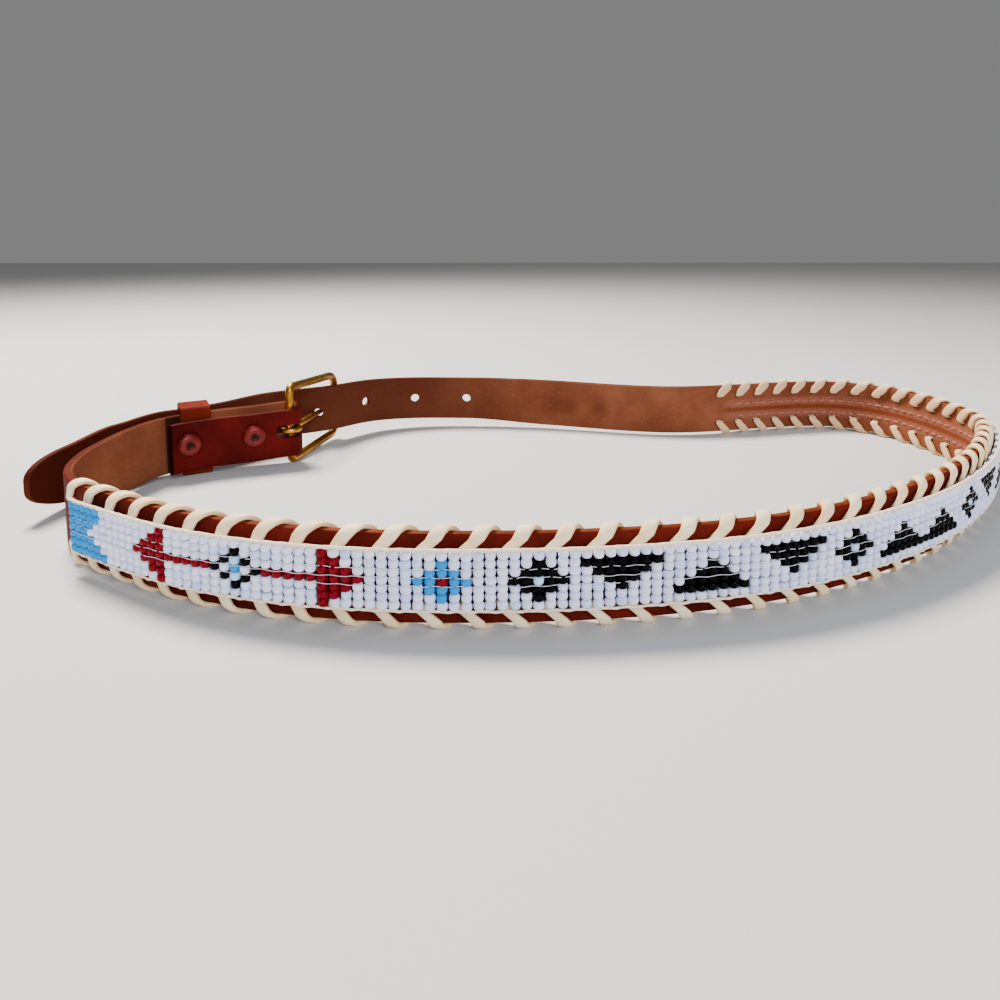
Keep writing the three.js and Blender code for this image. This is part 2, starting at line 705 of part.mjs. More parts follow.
// The origin lies under the middle of the belt, on the surface that it stands on
const box = new THREE.Box3().setFromObject(belt);
const middle = box.getCenter(new THREE.Vector3());
belt.position.set(-middle.x, -middle.y, -box.min.z);
belt.updateMatrixWorld(true);

export default belt;
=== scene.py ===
# %% [markdown]
# # A beaded belt, dressed for its picture
# The belt's solids come in from model.glb, and they stay as the frame for everything
# here. What catches the eye on the real belt is small: glass beads on thread, a flat lace whipped
# over each edge, leather with two different faces, and a little brass. Each gets its own step.

import math

import bpy
import numpy as np
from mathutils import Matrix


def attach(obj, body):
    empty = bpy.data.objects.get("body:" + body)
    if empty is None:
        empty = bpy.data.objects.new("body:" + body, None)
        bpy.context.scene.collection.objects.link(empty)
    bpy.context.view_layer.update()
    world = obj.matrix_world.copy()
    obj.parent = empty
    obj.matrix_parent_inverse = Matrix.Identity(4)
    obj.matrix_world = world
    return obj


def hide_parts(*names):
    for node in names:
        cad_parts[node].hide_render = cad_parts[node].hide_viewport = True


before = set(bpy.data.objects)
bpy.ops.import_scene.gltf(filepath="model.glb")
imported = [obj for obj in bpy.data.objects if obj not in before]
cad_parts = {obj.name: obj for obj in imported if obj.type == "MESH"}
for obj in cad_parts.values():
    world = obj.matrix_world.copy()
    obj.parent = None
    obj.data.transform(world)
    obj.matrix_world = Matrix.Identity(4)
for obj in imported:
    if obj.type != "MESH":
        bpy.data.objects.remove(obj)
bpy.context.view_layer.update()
print("solids:", ", ".join(sorted(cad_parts)))

# %% [markdown]
# ## The camera
# The picture was taken from a little above the table, close to the front of the belt. A wide lens so
# close makes the front look much larger than the back. Upright lines stay nearly parallel although the
# view looks down on the belt, so the lens is shifted down and the camera itself is tilted only a little.

# %% Place the camera
CAMERA_AT = (-0.0204, -0.2458, 0.090)
LOOK_DOWN = math.radians(6)
FOCAL_LENGTH = 25.2
SENSOR_WIDTH = 36
SHIFT_DOWN = -0.183


def add_camera():
    """A wide lens, shifted down, on a camera that is tilted by LOOK_DOWN below the horizon."""
    lens = bpy.data.cameras.new("camera")
    lens.lens = FOCAL_LENGTH
    lens.sensor_width = SENSOR_WIDTH
    lens.shift_y = SHIFT_DOWN
    lens.clip_start = 0.01
    camera = bpy.data.objects.new("camera", lens)
    camera.location = CAMERA_AT
    camera.rotation_euler = (math.pi / 2 - LOOK_DOWN, 0, 0)
    bpy.context.collection.objects.link(camera)
    bpy.context.scene.camera = camera
    return camera


print("camera at", tuple(add_camera().location))

# %% [markdown]
# ## The line that the belt follows
# Seen from above, the strap is one long line: round the waist, through the buckle and on to the tongue's
# tip. A B-spline gives such a line without kinks. Its control points are the chosen points, each pushed
# outwards by a sixth of the bend there, and then the curve passes close by the chosen points themselves. All
# lengths are in millimetres, as on a maker's bench, and only the finished meshes are turned into metres.

# %% A smooth line through points
STRAP_WIDTH = 22
STRAP_THICKNESS = 2.4
GAP = 0.3
POINTS_PER_SPAN = 60
LOOK_AROUND = 0.25


class Line:
    """A smooth line in plan, read by the length along it in millimetres."""

    def __init__(self, points):
        """Each point of the curve is a sum of four control points with the cubic B-spline's weights."""
        points = np.asarray(points, float)
        wide = np.vstack([2 * points[0] - points[1], points, 2 * points[-1] - points[-2]])
        pushed = points - (wide[:-2] - 2 * points + wide[2:]) / 6
        knots = np.vstack([2 * pushed[0] - pushed[1], pushed, 2 * pushed[-1] - pushed[-2]])
        spans = len(points) - 1
        t = np.linspace(0, spans, spans * POINTS_PER_SPAN + 1)
        span = np.minimum(t.astype(int), spans - 1)
        u = (t - span)[:, None]
        weights = [(1 - u) ** 3, 3 * u ** 3 - 6 * u ** 2 + 4, -3 * u ** 3 + 3 * u ** 2 + 3 * u + 1, u ** 3]
        self.xy = sum(w * knots[span + i] for i, w in enumerate(weights)) / 6
        steps = np.hypot(*np.diff(self.xy, axis=0).T)
        self.mark = np.concatenate([[0], np.cumsum(steps)])
        self.length = self.mark[-1]

    def spot(self, s):
        """The point at each length, found between its two neighbours on the fine polyline."""
        return np.stack([np.interp(s, self.mark, self.xy[:, i]) for i in (0, 1)], 1)

    def at(self, s):
        """Points, directions ahead and out at these lengths. Past an end the line runs straight."""
        s = np.atleast_1d(np.asarray(s, float))
        inside = np.clip(s, LOOK_AROUND, self.length - LOOK_AROUND)
        ahead = self.spot(inside + LOOK_AROUND) - self.spot(inside - LOOK_AROUND)
        ahead /= np.linalg.norm(ahead, axis=1, keepdims=True)
        held = np.clip(s, 0, self.length)
        return self.spot(held) + ahead * (s - held)[:, None], ahead, turned(ahead)


def turned(ahead):
    """A quarter turn to the right, which is the belt's outside."""
    return np.stack([ahead[:, 1], -ahead[:, 0]], 1)


# %% [markdown]
# ## The belt's own plan
# The first table is the loop, as shares of its length and depth. The second is the tongue, which lies
# along the strap's outside: how far along, and how far it stands off. It springs away before and
# after the keeper, as stiff leather does.

# %% Lay out the strap
LOOP_LENGTH = 324
LOOP_DEPTH = 184
TONGUE_REACH = 89.5
TONGUE_SPRING = 15
PLAN = [
    (-0.355, 0.184), (-0.421, 0.131), (-0.474, 0.083), (-0.494, 0.008), (-0.500, -0.074), (-0.500, -0.155),
    (-0.487, -0.242), (-0.454, -0.315), (-0.397, -0.374), (-0.325, -0.440), (-0.220, -0.490),
    (-0.103, -0.502), (0.019, -0.487), (0.127, -0.445), (0.215, -0.378), (0.298, -0.290), (0.366, -0.190),
    (0.415, -0.098), (0.464, 0.016), (0.490, 0.114), (0.491, 0.250), (0.472, 0.378), (0.414, 0.465),
    (0.324, 0.451), (0.247, 0.421), (0.165, 0.398), (0.075, 0.424), (-0.020, 0.467), (-0.120, 0.489),
    (-0.212, 0.485), (-0.281, 0.432), (-0.315, 0.352), (-0.359, 0.297),
]
TONGUE = [(0.10, 0.87), (0.24, 0.39), (0.40, 0.05), (0.54, 0.19), (0.67, 0.42), (0.80, 0.58), (0.92, 0.72),
          (1.00, 0.88)]
SNAP_BACK_THICKNESS = 1

loop_points = np.array(PLAN) * (LOOP_LENGTH, LOOP_DEPTH)
loop = Line(loop_points)
past, spring = np.array(TONGUE).T
tongue_hold = STRAP_THICKNESS + SNAP_BACK_THICKNESS + 4 * GAP
behind, _, outwards = loop.at(past * TONGUE_REACH)
stand_off = tongue_hold + spring * TONGUE_SPRING
main_line = Line(np.vstack([loop_points, behind + outwards * stand_off[:, None]]))
STRAP_LENGTH = main_line.length
print(f"round the loop {loop.length:.0f} mm, to the tip {STRAP_LENGTH:.0f} mm")

# %% [markdown]
# ## The fold round the heel bar
# At the buckle the strap turns back on itself round the heel bar and lies inside, held by two snaps. One
# function answers for the whole strap: lengths below zero are in the fold, the rest on the main line.

# %% Lay the fold
FRAME_WIRE = 3.4
FOLD_LENGTH = 48
KEEPER_WIDTH = 11
KEEPER_THICKNESS = 1.6
KEEPER_FROM_HEEL = 35.5

wire_round = FRAME_WIRE / 2 / math.cos(math.pi / 8)
heel_radius = wire_round + GAP + STRAP_THICKNESS / 2
heel_at, heel_ahead, heel_out = (row[0] for row in main_line.at(0))
bar_at = heel_at - heel_out * heel_radius
BEND = math.pi * heel_radius
keeper_fold = STRAP_THICKNESS + KEEPER_THICKNESS + 3 * GAP


def fold_spread(back):
    """Distance between the two layers: wide at the bar, closing evenly to what the keeper leaves."""
    share = np.clip(back / (KEEPER_FROM_HEEL - KEEPER_WIDTH / 2), 0, 1)
    return 2 * heel_radius + share * (keeper_fold - 2 * heel_radius)


def lay(s):
    """Plan point, direction ahead and outer side of the strap's middle at each length s: on the main line,
    on a half circle round the heel bar, or beside the main line on its way back."""
    s = np.atleast_1d(np.asarray(s, float))
    point, ahead, out = main_line.at(np.maximum(s, 0))
    turn = math.pi * (1 + np.clip(s, -BEND, 0) / BEND)[:, None]
    round_out = -np.cos(turn) * heel_out - np.sin(turn) * heel_ahead
    back = np.maximum(-s - BEND, 0)
    fold_point, fold_ahead, fold_out = main_line.at(back)
    fold_point = fold_point - fold_out * fold_spread(back)[:, None]
    in_bend = ((s < 0) & (s > -BEND))[:, None]
    in_fold = (s <= -BEND)[:, None]
    point = np.where(in_bend, bar_at + round_out * heel_radius, np.where(in_fold, fold_point, point))
    out = np.where(in_bend, round_out, np.where(in_fold, -fold_out, out))
    round_ahead = np.stack([-round_out[:, 1], round_out[:, 0]], 1)
    ahead = np.where(in_bend, round_ahead, np.where(in_fold, -fold_ahead, ahead))
    return point, ahead, out


print(f"heel bar stands at {bar_at.round(1)} in the plan")

# %% [markdown]
# ## How high the edges run
# The laced part stands on the crests of its lacing. At the heel the strap hangs in the taller buckle
# frame, so it rises there. The billet, which goes through the buckle, is narrower: it steps in at its
# lower edge only.

# %% Heights and widths along the strap
BILLET_WIDTH = 20.3
BILLET_LENGTH = 236
SHOULDER_LENGTH = 40
TIP_LENGTH = 25
TIP_END_WIDTH = 5
FOLD_WIDTH = 19.2
FOLD_INSET = 0.6
LACE_THICKNESS = 1.1
LIFT = [(0.00, 1.00), (0.02, 0.66), (0.05, 0.30), (0.12, 0.00), (0.68, 0.00), (0.79, 0.45), (0.88, 1.25),
        (0.94, 0.80), (0.96, 0.05), (0.98, -0.80), (1.00, -0.40)]

rest_height = GAP + LACE_THICKNESS
heel_lift = FRAME_WIRE + GAP - rest_height
heel_middle = FRAME_WIRE + GAP + STRAP_WIDTH / 2


def ease(x, low, high):
    """0 below low, 1 above high, and a smooth S between them."""
    t = np.clip((x - low) / (high - low), 0, 1)
    return t * t * (3 - 2 * t)


def lift_share(place):
    """The table's lifts, blended with the same S between one row and the next."""
    at, lift = np.array(LIFT).T
    row = np.clip(np.searchsorted(at, place, side="right") - 1, 0, len(at) - 2)
    blend = ease(place, at[row], at[row + 1])
    return lift[row] * (1 - blend) + lift[row + 1] * blend


def billet(s):
    """0 on the laced part, 1 on the billet, and an S along the shoulder."""
    start = STRAP_LENGTH - BILLET_LENGTH
    return ease(s, start, start + SHOULDER_LENGTH)


def strap_bottom(s):
    """Height of the lower edge: the rest height, the lift there, the fold's inset and the billet's step."""
    place = np.where(s < 0, -np.minimum(s + BEND, 0), s)
    lift = heel_lift * lift_share(place / STRAP_LENGTH)
    fold = ease(-s, 0, BEND) * FOLD_INSET
    return rest_height + lift + fold + billet(s) * (STRAP_WIDTH - BILLET_WIDTH)


def strap_edges(s):
    """Lower and upper edge. The tip's outline is a quarter ellipse on both edges."""
    s = np.asarray(s, float)
    fold = ease(-s, 0, BEND) * (STRAP_WIDTH - FOLD_WIDTH)
    full = STRAP_WIDTH - fold - billet(s) * (STRAP_WIDTH - BILLET_WIDTH)
    into_tip = np.clip((s - STRAP_LENGTH + TIP_LENGTH) / TIP_LENGTH, 0, 1)
    width = TIP_END_WIDTH + (full - TIP_END_WIDTH) * np.sqrt(1 - into_tip ** 2)
    low = strap_bottom(s) + (full - width) / 2
    return low, low + width


for title, s in (("heel", 0), ("front", 300), ("tip", STRAP_LENGTH)):
    print("edges at the", title, np.round(strap_edges(s), 1))

# %% [markdown]
# ## Turning numbers into meshes
# Every piece below is a grid of points: rows along the belt, columns round a section. The helper joins
# neighbouring points into quads, closes the ends, and checks by the enclosed volume that the faces look
# outwards. Maps carry the maker's own measures, such as length along the strap, into the materials.

# %% Mesh helpers
BOX_MIDDLE = np.array([-7.628, -3.176])


def stand(xy, z):
    """Plan points and heights in millimetres, as points in metres with the belt's box centred."""
    x, y = np.moveaxis(xy - BOX_MIDDLE, -1, 0)
    return np.stack([x, y, np.broadcast_to(z, x.shape)], -1) / 1000


def paired(first, second):
    """Two numbers for each point of a grid, as a table with two columns."""
    return np.stack(np.broadcast_arrays(first, second), -1).reshape(-1, 2)


def grid_quads(rows, columns, loop_rows=False):
    """Corner numbers of the quads of a grid whose columns, and maybe rows, join up again."""
    r = np.arange(rows if loop_rows else rows - 1)[:, None]
    c = np.arange(columns)[None, :]
    down, side = (r + 1) % rows, (c + 1) % columns
    corners = [r * columns + c, r * columns + side, down * columns + side, down * columns + c]
    return np.stack(np.broadcast_arrays(*corners), -1).reshape(-1, 4)


def volume(points, quads):
    """Enclosed volume: a quad is two triangles, and each spans a tetrahedron with the origin."""
    a, b, c, d = points[quads].transpose(1, 0, 2)
    return (np.einsum("ij,ij->i", a, np.cross(b, c)) + np.einsum("ij,ij->i", a, np.cross(c, d))).sum() / 6


def tube(grid, closed=False):
    """A grid of points (rows, columns, 3) as points and faces, with flat ends unless it is closed."""
    rows, columns = grid.shape[:2]
    points = grid.reshape(-1, 3)
    quads = grid_quads(rows, columns, loop_rows=closed)
    ends = [] if closed else [list(range(columns))[::-1], list(range((rows - 1) * columns, rows * columns))]
    if volume(points - points.mean(0), quads) < 0:
        quads, ends = quads[:, ::-1], [end[::-1] for end in ends]
    return points, quads.tolist() + ends


def join(shapes):
    """Several (points, faces) pairs as one."""
    points, faces, used = [], [], 0
    for some, around in shapes:
        points.append(some)
        faces += [[used + i for i in face] for face in around]
        used += len(some)
    return np.vstack(points), faces


# %% [markdown]
# ## From numbers to an object
# Blender keeps a map for each corner of each face, while the shapes here know their numbers for each
# point. So the helper looks up which point every corner belongs to, and hands the numbers over in one go.

# %% Make a piece
def piece(name, shape, maps=None, sharp=None):
    """A mesh object. maps gives two numbers for each point under a name, sharp the angle of hard edges."""
    points, faces = shape
    mesh = bpy.data.meshes.new(name)
    mesh.from_pydata(points.tolist(), [], faces)
    corner = np.empty(len(mesh.loops), int)
    mesh.loops.foreach_get("vertex_index", corner)
    for title, pairs in (maps or {}).items():
        layer = mesh.uv_layers.new(name=title)
        layer.data.foreach_set("uv", np.asarray(pairs, np.float32)[corner].ravel())
    mesh.shade_smooth()
    if sharp:
        mesh.set_sharp_from_angle(angle=math.radians(sharp))
    thing = bpy.data.objects.new(name, mesh)
    bpy.context.collection.objects.link(thing)
    return thing


def tell(thing):
    """Says how many faces a piece has."""
    print(f"{thing.name}: {len(thing.data.polygons)} faces")


# %% [markdown]
# ## Writing materials as sums
# A material is a small program. Written as ordinary expressions it stays readable: a wrapped socket
# knows how to be added, multiplied or divided, and each operation adds its Math node. All other nodes
# come from one method.

# %% Numbers in a material
class Value:
    """One output of a node, which adds Math nodes as it is used in an expression."""

    def __init__(self, finish, socket):
        self.finish, self.socket = finish, socket

    def of(self, output):
        """Another output of the same node."""
        return Value(self.finish, self.socket.node.outputs[output])

    def sum(self, operation, a, b):
        """The Math node for one operation."""
        return self.finish.node("ShaderNodeMath", {"operation": operation}, _0=a, _1=b)

    def __add__(self, other): return self.sum("ADD", self, other)
    def __radd__(self, other): return self.sum("ADD", other, self)
    def __sub__(self, other): return self.sum("SUBTRACT", self, other)
    def __rsub__(self, other): return self.sum("SUBTRACT", other, self)
    def __mul__(self, other): return self.sum("MULTIPLY", self, other)
    def __rmul__(self, other): return self.sum("MULTIPLY", other, self)
    def __truediv__(self, other): return self.sum("DIVIDE", self, other)
    def __abs__(self): return self.sum("ABSOLUTE", self, 0)

    def rise(self, low, high):
        """0 below low, 1 above high, smooth between. With low above high it falls instead."""
        return self.finish.node("ShaderNodeMapRange", {"interpolation_type": "SMOOTHSTEP"}, Value=self,
                                From_Min=low, From_Max=high)


# %% [markdown]
# ## One shader for each finish
# Every finish on the belt is one Principled shader. What is the same all over is set on its own
# sockets. What changes over the surface is worked out from the piece's place or its maps, and fed to
# the few sockets for it.

# %% A material and its nodes
class Finish:
    """A material with one Principled shader."""

    def __init__(self, name, **fixed):
        self.material = bpy.data.materials.new(name)
        self.material.use_nodes = True
        self.nodes = self.material.node_tree.nodes
        self.nodes.clear()
        shader = self.node("ShaderNodeBsdfPrincipled", {}, **fixed)
        self.shader = shader.socket.node
        self.node("ShaderNodeOutputMaterial", {}, Surface=shader)

    def node(self, kind, settings=None, **sockets):
        """Adds a node, sets its own options, then gives its sockets their values or links."""
        made = self.nodes.new(kind)
        for key, value in (settings or {}).items():
            setattr(made, key, value)
        for key, value in sockets.items():
            self.feed(made.inputs[int(key[1:]) if key[0] == "_" else key.replace("_", " ")], value)
        return Value(self, made.outputs[0]) if made.outputs else None

    def feed(self, socket, value):
        """Links a socket to another node's output, or sets its plain value."""
        if isinstance(value, Value):
            self.material.node_tree.links.new(value.socket, socket)
        else:
            socket.default_value = value

    def wear(self, **sockets):
        """Feeds the shader's own sockets."""
        for key, value in sockets.items():
            self.feed(self.shader.inputs[key.replace("_", " ")], value)
        return self.material

    def place(self, scale=(1, 1, 1)):
        """Object coordinates, stretched by scale."""
        spot = self.node("ShaderNodeTexCoord").of("Object")
        return self.node("ShaderNodeMapping", {}, Vector=spot, Scale=scale)

    def map(self, title):
        """The two numbers of one of the piece's own maps."""
        both = self.node("ShaderNodeSeparateXYZ", {}, Vector=self.node("ShaderNodeUVMap", {"uv_map": title}))
        return both.of("X"), both.of("Y")

    def noise(self, where, scale, detail=3, roughness=0.5):
        """Cloudy numbers round one half. A scale of 45 gives blotches about two centimetres wide."""
        sockets = {"Vector": where, "Scale": scale, "Detail": detail, "Roughness": roughness}
        return self.node("ShaderNodeTexNoise", {}, **sockets)

    def blend(self, mask, below, above):
        """Two colours mixed by a mask."""
        mixer = self.nodes.new("ShaderNodeMix")
        mixer.data_type = "RGBA"
        for socket, value in zip((mixer.inputs[0], mixer.inputs[6], mixer.inputs[7]), (mask, below, above)):
            self.feed(socket, value)
        return Value(self, mixer.outputs[2])

    def bump(self, height, depth, strength=1.0):
        """Normal from a height field of zero to one, depth in metres."""
        return self.node("ShaderNodeBump", {}, Height=height, Distance=depth, Strength=strength)


def colour(code):
    """A painter's #rrggbb as the linear colour that shaders use."""
    parts = np.array([int(code[i:i + 2], 16) for i in (1, 3, 5)]) / 255
    linear = np.where(parts <= 0.04045, parts / 12.92, ((parts + 0.055) / 1.055) ** 2.4)
    return (*linear.tolist(), 1.0)


print("a mid brown in linear light:", [round(c, 3) for c in colour("#7a2e1b")[:3]])

# %% [markdown]
# ## The strap
# Cut leather has two tall faces and softly rounded edges. The section is a rounded rectangle, carried
# along the strap in steps of two millimetres, closer in the fold, in the bend and at the tip. Its
# slots and holes are real cuts, made with one boolean further down, because the lace is seen going
# into them on the inner side.

# %% Section and sweep of the strap
EDGE_ROUND = 0.7


def strap_section(thickness, edge_round, face_steps=8):
    """Side offsets, shares of the height and offsets in height, round a rectangle with rounded corners."""
    half, turn = thickness / 2 - edge_round, np.radians([0, 30, 60, 90])
    bow, climb = edge_round * np.cos(turn), edge_round * np.sin(turn)
    side = np.concatenate([half + bow[::-1], np.full(face_steps, half + edge_round), half + bow])
    share = np.concatenate([np.zeros(4), np.linspace(0, 1, face_steps + 2)[1:-1], np.ones(4)])
    rise = np.concatenate([edge_round - climb[::-1], np.zeros(face_steps), climb - edge_round])
    round_again = (side, -side[::-1]), (share, share[::-1]), (rise, rise[::-1])
    return [np.concatenate(parts) for parts in round_again]


def strap_steps():
    """Lengths at which sections stand. At the tip they follow a sine, so its quarter ellipse looks round."""
    fold = np.arange(-BEND - FOLD_LENGTH, -BEND, 1.5)
    bend = np.linspace(-BEND, 0, 60, endpoint=False)
    main = np.arange(0, STRAP_LENGTH - TIP_LENGTH, 2)
    tip = STRAP_LENGTH - TIP_LENGTH * (1 - np.sin(np.linspace(0, math.pi / 2, 16)))
    return np.concatenate([fold, bend, main, tip])


def strap_shape():
    """The section's points, each moved out from the middle line and up by its share of the height there. The
    maps hold the length and the height over the lower edge, then the side (1 out, -1 in) and the width."""
    s = strap_steps()
    side, share, rise = strap_section(STRAP_THICKNESS, EDGE_ROUND)
    at, _, out = lay(s)
    low, high = strap_edges(s)
    plan = at[:, None, :] + out[:, None, :] * side[None, :, None]
    height = low[:, None] + (high - low)[:, None] * share + rise
    maps = {"lay": paired(s[:, None], height - low[:, None]) / 1000,
            "side": paired(side / side.max(), (high - low)[:, None] / 1000)}
    return tube(stand(plan, height)), maps


strap = piece("belt_strap", *strap_shape(), sharp=40)
tell(strap)

# %% [markdown]
# ## Buckle geometry
# The frame hangs on the heel bar, and its front bar lies outside the tongue. Where exactly is found as a
# maker would find it: walk back along the strap until the front bar is one frame length from the heel
# bar. The prong rests on that bar, and the hole that it goes through is where its line crosses the strap.

# %% Find the front bar and the prong's end
FRAME_HEIGHT = 33.5
FRAME_LENGTH = 42
FRAME_CORNER = 5
FRAME_HEEL_CORNER = 2.2
FRAME_TAPER = 1.5
PRONG_WIRE = 2.6
PRONG_OVERLAP = 5
HOLE_DIAMETER = 4
HOLE_SPACING = 25.4
HOLE_COUNT = 5
HOLES_PAST_PRONG = 1
TRIAL_STEP = 0.05
HOLE_SEARCH = 15

trial = np.arange(loop.length, 0, -TRIAL_STEP)
trial_at, _, trial_out = lay(trial)
beside = trial_at + trial_out * (STRAP_THICKNESS / 2 + 2 * GAP + wire_round)
reach = np.hypot(*(beside - bar_at).T)
found = np.argmax(reach >= FRAME_LENGTH - FRAME_WIRE)
front_at, front_out = beside[found], trial_out[found]
frame_reach = reach[found]
frame_ahead = (front_at - bar_at) / frame_reach
frame_side = front_out - frame_ahead * (front_out @ frame_ahead)
frame_side /= np.hypot(*frame_side)
prong_tip = front_at + frame_side * (wire_round + PRONG_WIRE / 2 + GAP)
prong_ahead = (prong_tip - bar_at) / np.hypot(*(prong_tip - bar_at))
off_line = np.abs((trial_at - bar_at) @ turned(prong_ahead[None])[0])
near_bar = (trial > trial[found] - HOLE_SEARCH) & (trial < trial[found] + HOLE_SEARCH)
hole_at = trial[near_bar][np.argmin(off_line[near_bar])]
holes = hole_at + HOLE_SPACING * (HOLES_PAST_PRONG - np.arange(HOLE_COUNT))
print(f"front bar {trial[found]:.1f} mm along, holes at {holes.round(1)}")

# %% [markdown]
# ## Cutting the slots and holes
# All cutters are joined into one mesh and taken away in one go. A slot is a small box across the
# leather, a hole is a round rod. The prong's slot opens the bend so that the prong can swing on its bar.
# The hole that the prong goes through is cut along the prong, so the metal never touches the leather.

# %% Cutters
LACE_WIDTH = 3.1
LACE_PITCH = 9.85
LACE_INSET = 5
LACE_FROM_HEEL = 121.5
LACED_LENGTH = 492
SNAP_FROM_HEEL = 14.3
SNAP_SPACING = 24.7
SNAP_POST = 3.2
SNAP_RISE = 1
PRONG_SLOT_HEIGHT = 5.4

lace_turns = round(LACED_LENGTH / LACE_PITCH)
slots = LACE_FROM_HEEL + LACE_PITCH * np.arange(lace_turns + 1)
snaps = np.array([SNAP_FROM_HEEL, SNAP_FROM_HEEL + SNAP_SPACING])


def block(xy, z, x_way, size):
    """A box about a point: size along x_way, across it in plan, and upwards."""
    signs = np.array([(-1, -1), (1, -1), (1, 1), (-1, 1)])
    across = turned(x_way[None])[0]
    ring = xy + signs[:, :1] * x_way * size[0] / 2 + signs[:, 1:] * across * size[1] / 2
    return tube(np.stack([stand(ring, z - size[2] / 2), stand(ring, z + size[2] / 2)]))


def rod(start, end, z, radius, sides=20):
    """A level rod between two plan points: a circle across its way, at both ends."""
    way = (end - start) / np.hypot(*(end - start))
    turn = np.linspace(0, 2 * math.pi, sides, endpoint=False)
    across = turned(way[None]) * (radius * np.cos(turn))[:, None]
    return tube(np.stack([stand(middle + across, z + radius * np.sin(turn)) for middle in (start, end)]))


def cut(thing, cutters):
    """Takes the cutters away from a piece and keeps the result as its mesh."""
    tool = piece("cutter", join(cutters))
    bite = thing.modifiers.new("cut", "BOOLEAN")
    bite.operation, bite.solver, bite.object = "DIFFERENCE", "EXACT", tool
    result = thing.evaluated_get(bpy.context.evaluated_depsgraph_get())
    mesh = bpy.data.meshes.new_from_object(result)
    thing.modifiers.clear()
    thing.data = mesh
    bpy.data.objects.remove(tool)
    mesh.shade_smooth()
    mesh.set_sharp_from_angle(angle=math.radians(40))


def snap_z(s):
    """Height of a snap's middle: a little above the middle of the fold there."""
    low, high = strap_edges(-BEND - s)
    return (low + high) / 2 + SNAP_RISE


def snap_hole(s):
    """A rod through the fold and the strap."""
    (xy,), _, (out,) = lay(s)
    inner = xy - out * (fold_spread(s) + STRAP_THICKNESS)
    return rod(inner, xy + out * STRAP_THICKNESS, snap_z(s), SNAP_POST / 2 + GAP)


cutters = []
slot_size = (LACE_WIDTH + 2 * GAP, 2 * STRAP_THICKNESS, LACE_THICKNESS + 2 * GAP)
for s, xy, way in zip(slots, *lay(slots)[:2]):
    for z in (strap_bottom(s) + LACE_INSET, strap_bottom(s) + STRAP_WIDTH - LACE_INSET):
        cutters.append(block(xy, z, way, slot_size))
for s in np.delete(holes, HOLES_PAST_PRONG):
    (xy,), _, (out,) = lay(s)
    through = out * STRAP_THICKNESS
    cutters.append(rod(xy - through, xy + through, np.mean(strap_edges(s)), HOLE_DIAMETER / 2))
snap_holes = [snap_hole(s) for s in snaps]
slot_reach = heel_radius + STRAP_THICKNESS
cutters += snap_holes
cutters.append(block(bar_at, heel_middle, heel_ahead, (2 * slot_reach, 3 * slot_reach, PRONG_SLOT_HEIGHT)))
cutters.append(rod((bar_at + prong_tip) / 2, prong_tip, heel_middle, PRONG_WIRE / 2 + 2 * GAP))
cut(strap, cutters)
tell(strap)

# %% [markdown]
# ## Leather with a grain face
# Dyed leather is cloudy at the size of a thumb, finely pored, and creased a little along its length. Three
# noises of different scales give this. The keeper wears them alone, in a lighter red-brown. Its gloss is
# kept low, as on waxed leather, because a strong reflection of the pale room would turn the dark dye grey.

# %% Plain leather
LEATHER_GLOSS = 0.04


def leather_noises(skin):
    """Place, clouds, pores and creases. The creases are squeezed in height, so they run along the strap."""
    spot = skin.place()
    mottle = skin.noise(spot, 45, 4, 0.6)
    pores = skin.noise(spot, 1900, 2, 0.6)
    wrinkle = skin.noise(skin.place((1, 1, 2.5)), 260, 3, 0.55)
    return spot, mottle, pores, wrinkle


def keeper_finish():
    """Two browns by the clouds, and a relief of pores and creases in equal parts."""
    skin = Finish("keeper_leather", Specular_IOR_Level=LEATHER_GLOSS)
    _, mottle, pores, wrinkle = leather_noises(skin)
    dyed = skin.blend(mottle.rise(0.32, 0.70), colour("#5c160a"), colour("#7c2c0e"))
    relief = pores * 0.5 + wrinkle * 0.5
    return skin.wear(Base_Color=dyed, Roughness=0.50 + mottle * 0.2, Normal=skin.bump(relief, 0.00012))


keeper_leather = keeper_finish()
print("keeper leather nodes:", len(keeper_leather.node_tree.nodes))

# %% [markdown]
# ## The strap's three surfaces
# The grain face is dyed dark red-brown, deepest on the fold-back, and painted near black behind the bead
# band as the shadow there. The flesh face inside is paler, dull and fibrous. It is rubbed pink along the
# stitches, is painted darker between their rows as the shade of a groove, and darkens towards the billet.
# The cut edge is dyed dark too, and lighter orange-brown along the laced part. The piece's own maps say
# which face a point is on and how far along, so each of these has its place.

# %% The grain face and the edges
LACED = (LACE_FROM_HEEL, LACE_FROM_HEEL + LACED_LENGTH)
STITCH_ROWS = (0.41, 0.67)
MARKS = (688, 670)
BAND_SHADE = (0.0042, 0.0184)


def grain_tone(skin, far, up, laced, mottle, pores):
    """Dye by the clouds and pores, darker on the fold-back, and painted shade near black behind the bead band.
    """
    dyed = skin.blend(mottle.rise(0.32, 0.70), colour("#410c07"), colour("#60190f"))
    dyed = skin.blend(pores.rise(0.56, 0.72) * 0.35, dyed, colour("#300802"))
    dark = skin.blend(mottle.rise(0.3, 0.7), colour("#3e0606"), colour("#590f0c"))
    dyed = skin.blend(far.rise(-2, -9), dyed, dark)
    # painted shade: behind the bead band the grain face is darkened to near black, as the shadow of the band.
    low, high = BAND_SHADE
    band_shadow = up.rise(low, low + 0.001) * up.rise(high, high - 0.001)
    band_shadow = band_shadow * far.rise(LACED[0] + 5, LACED[0] + 7) * laced
    return skin.blend(band_shadow * 0.9, dyed, colour("#0c0504"))


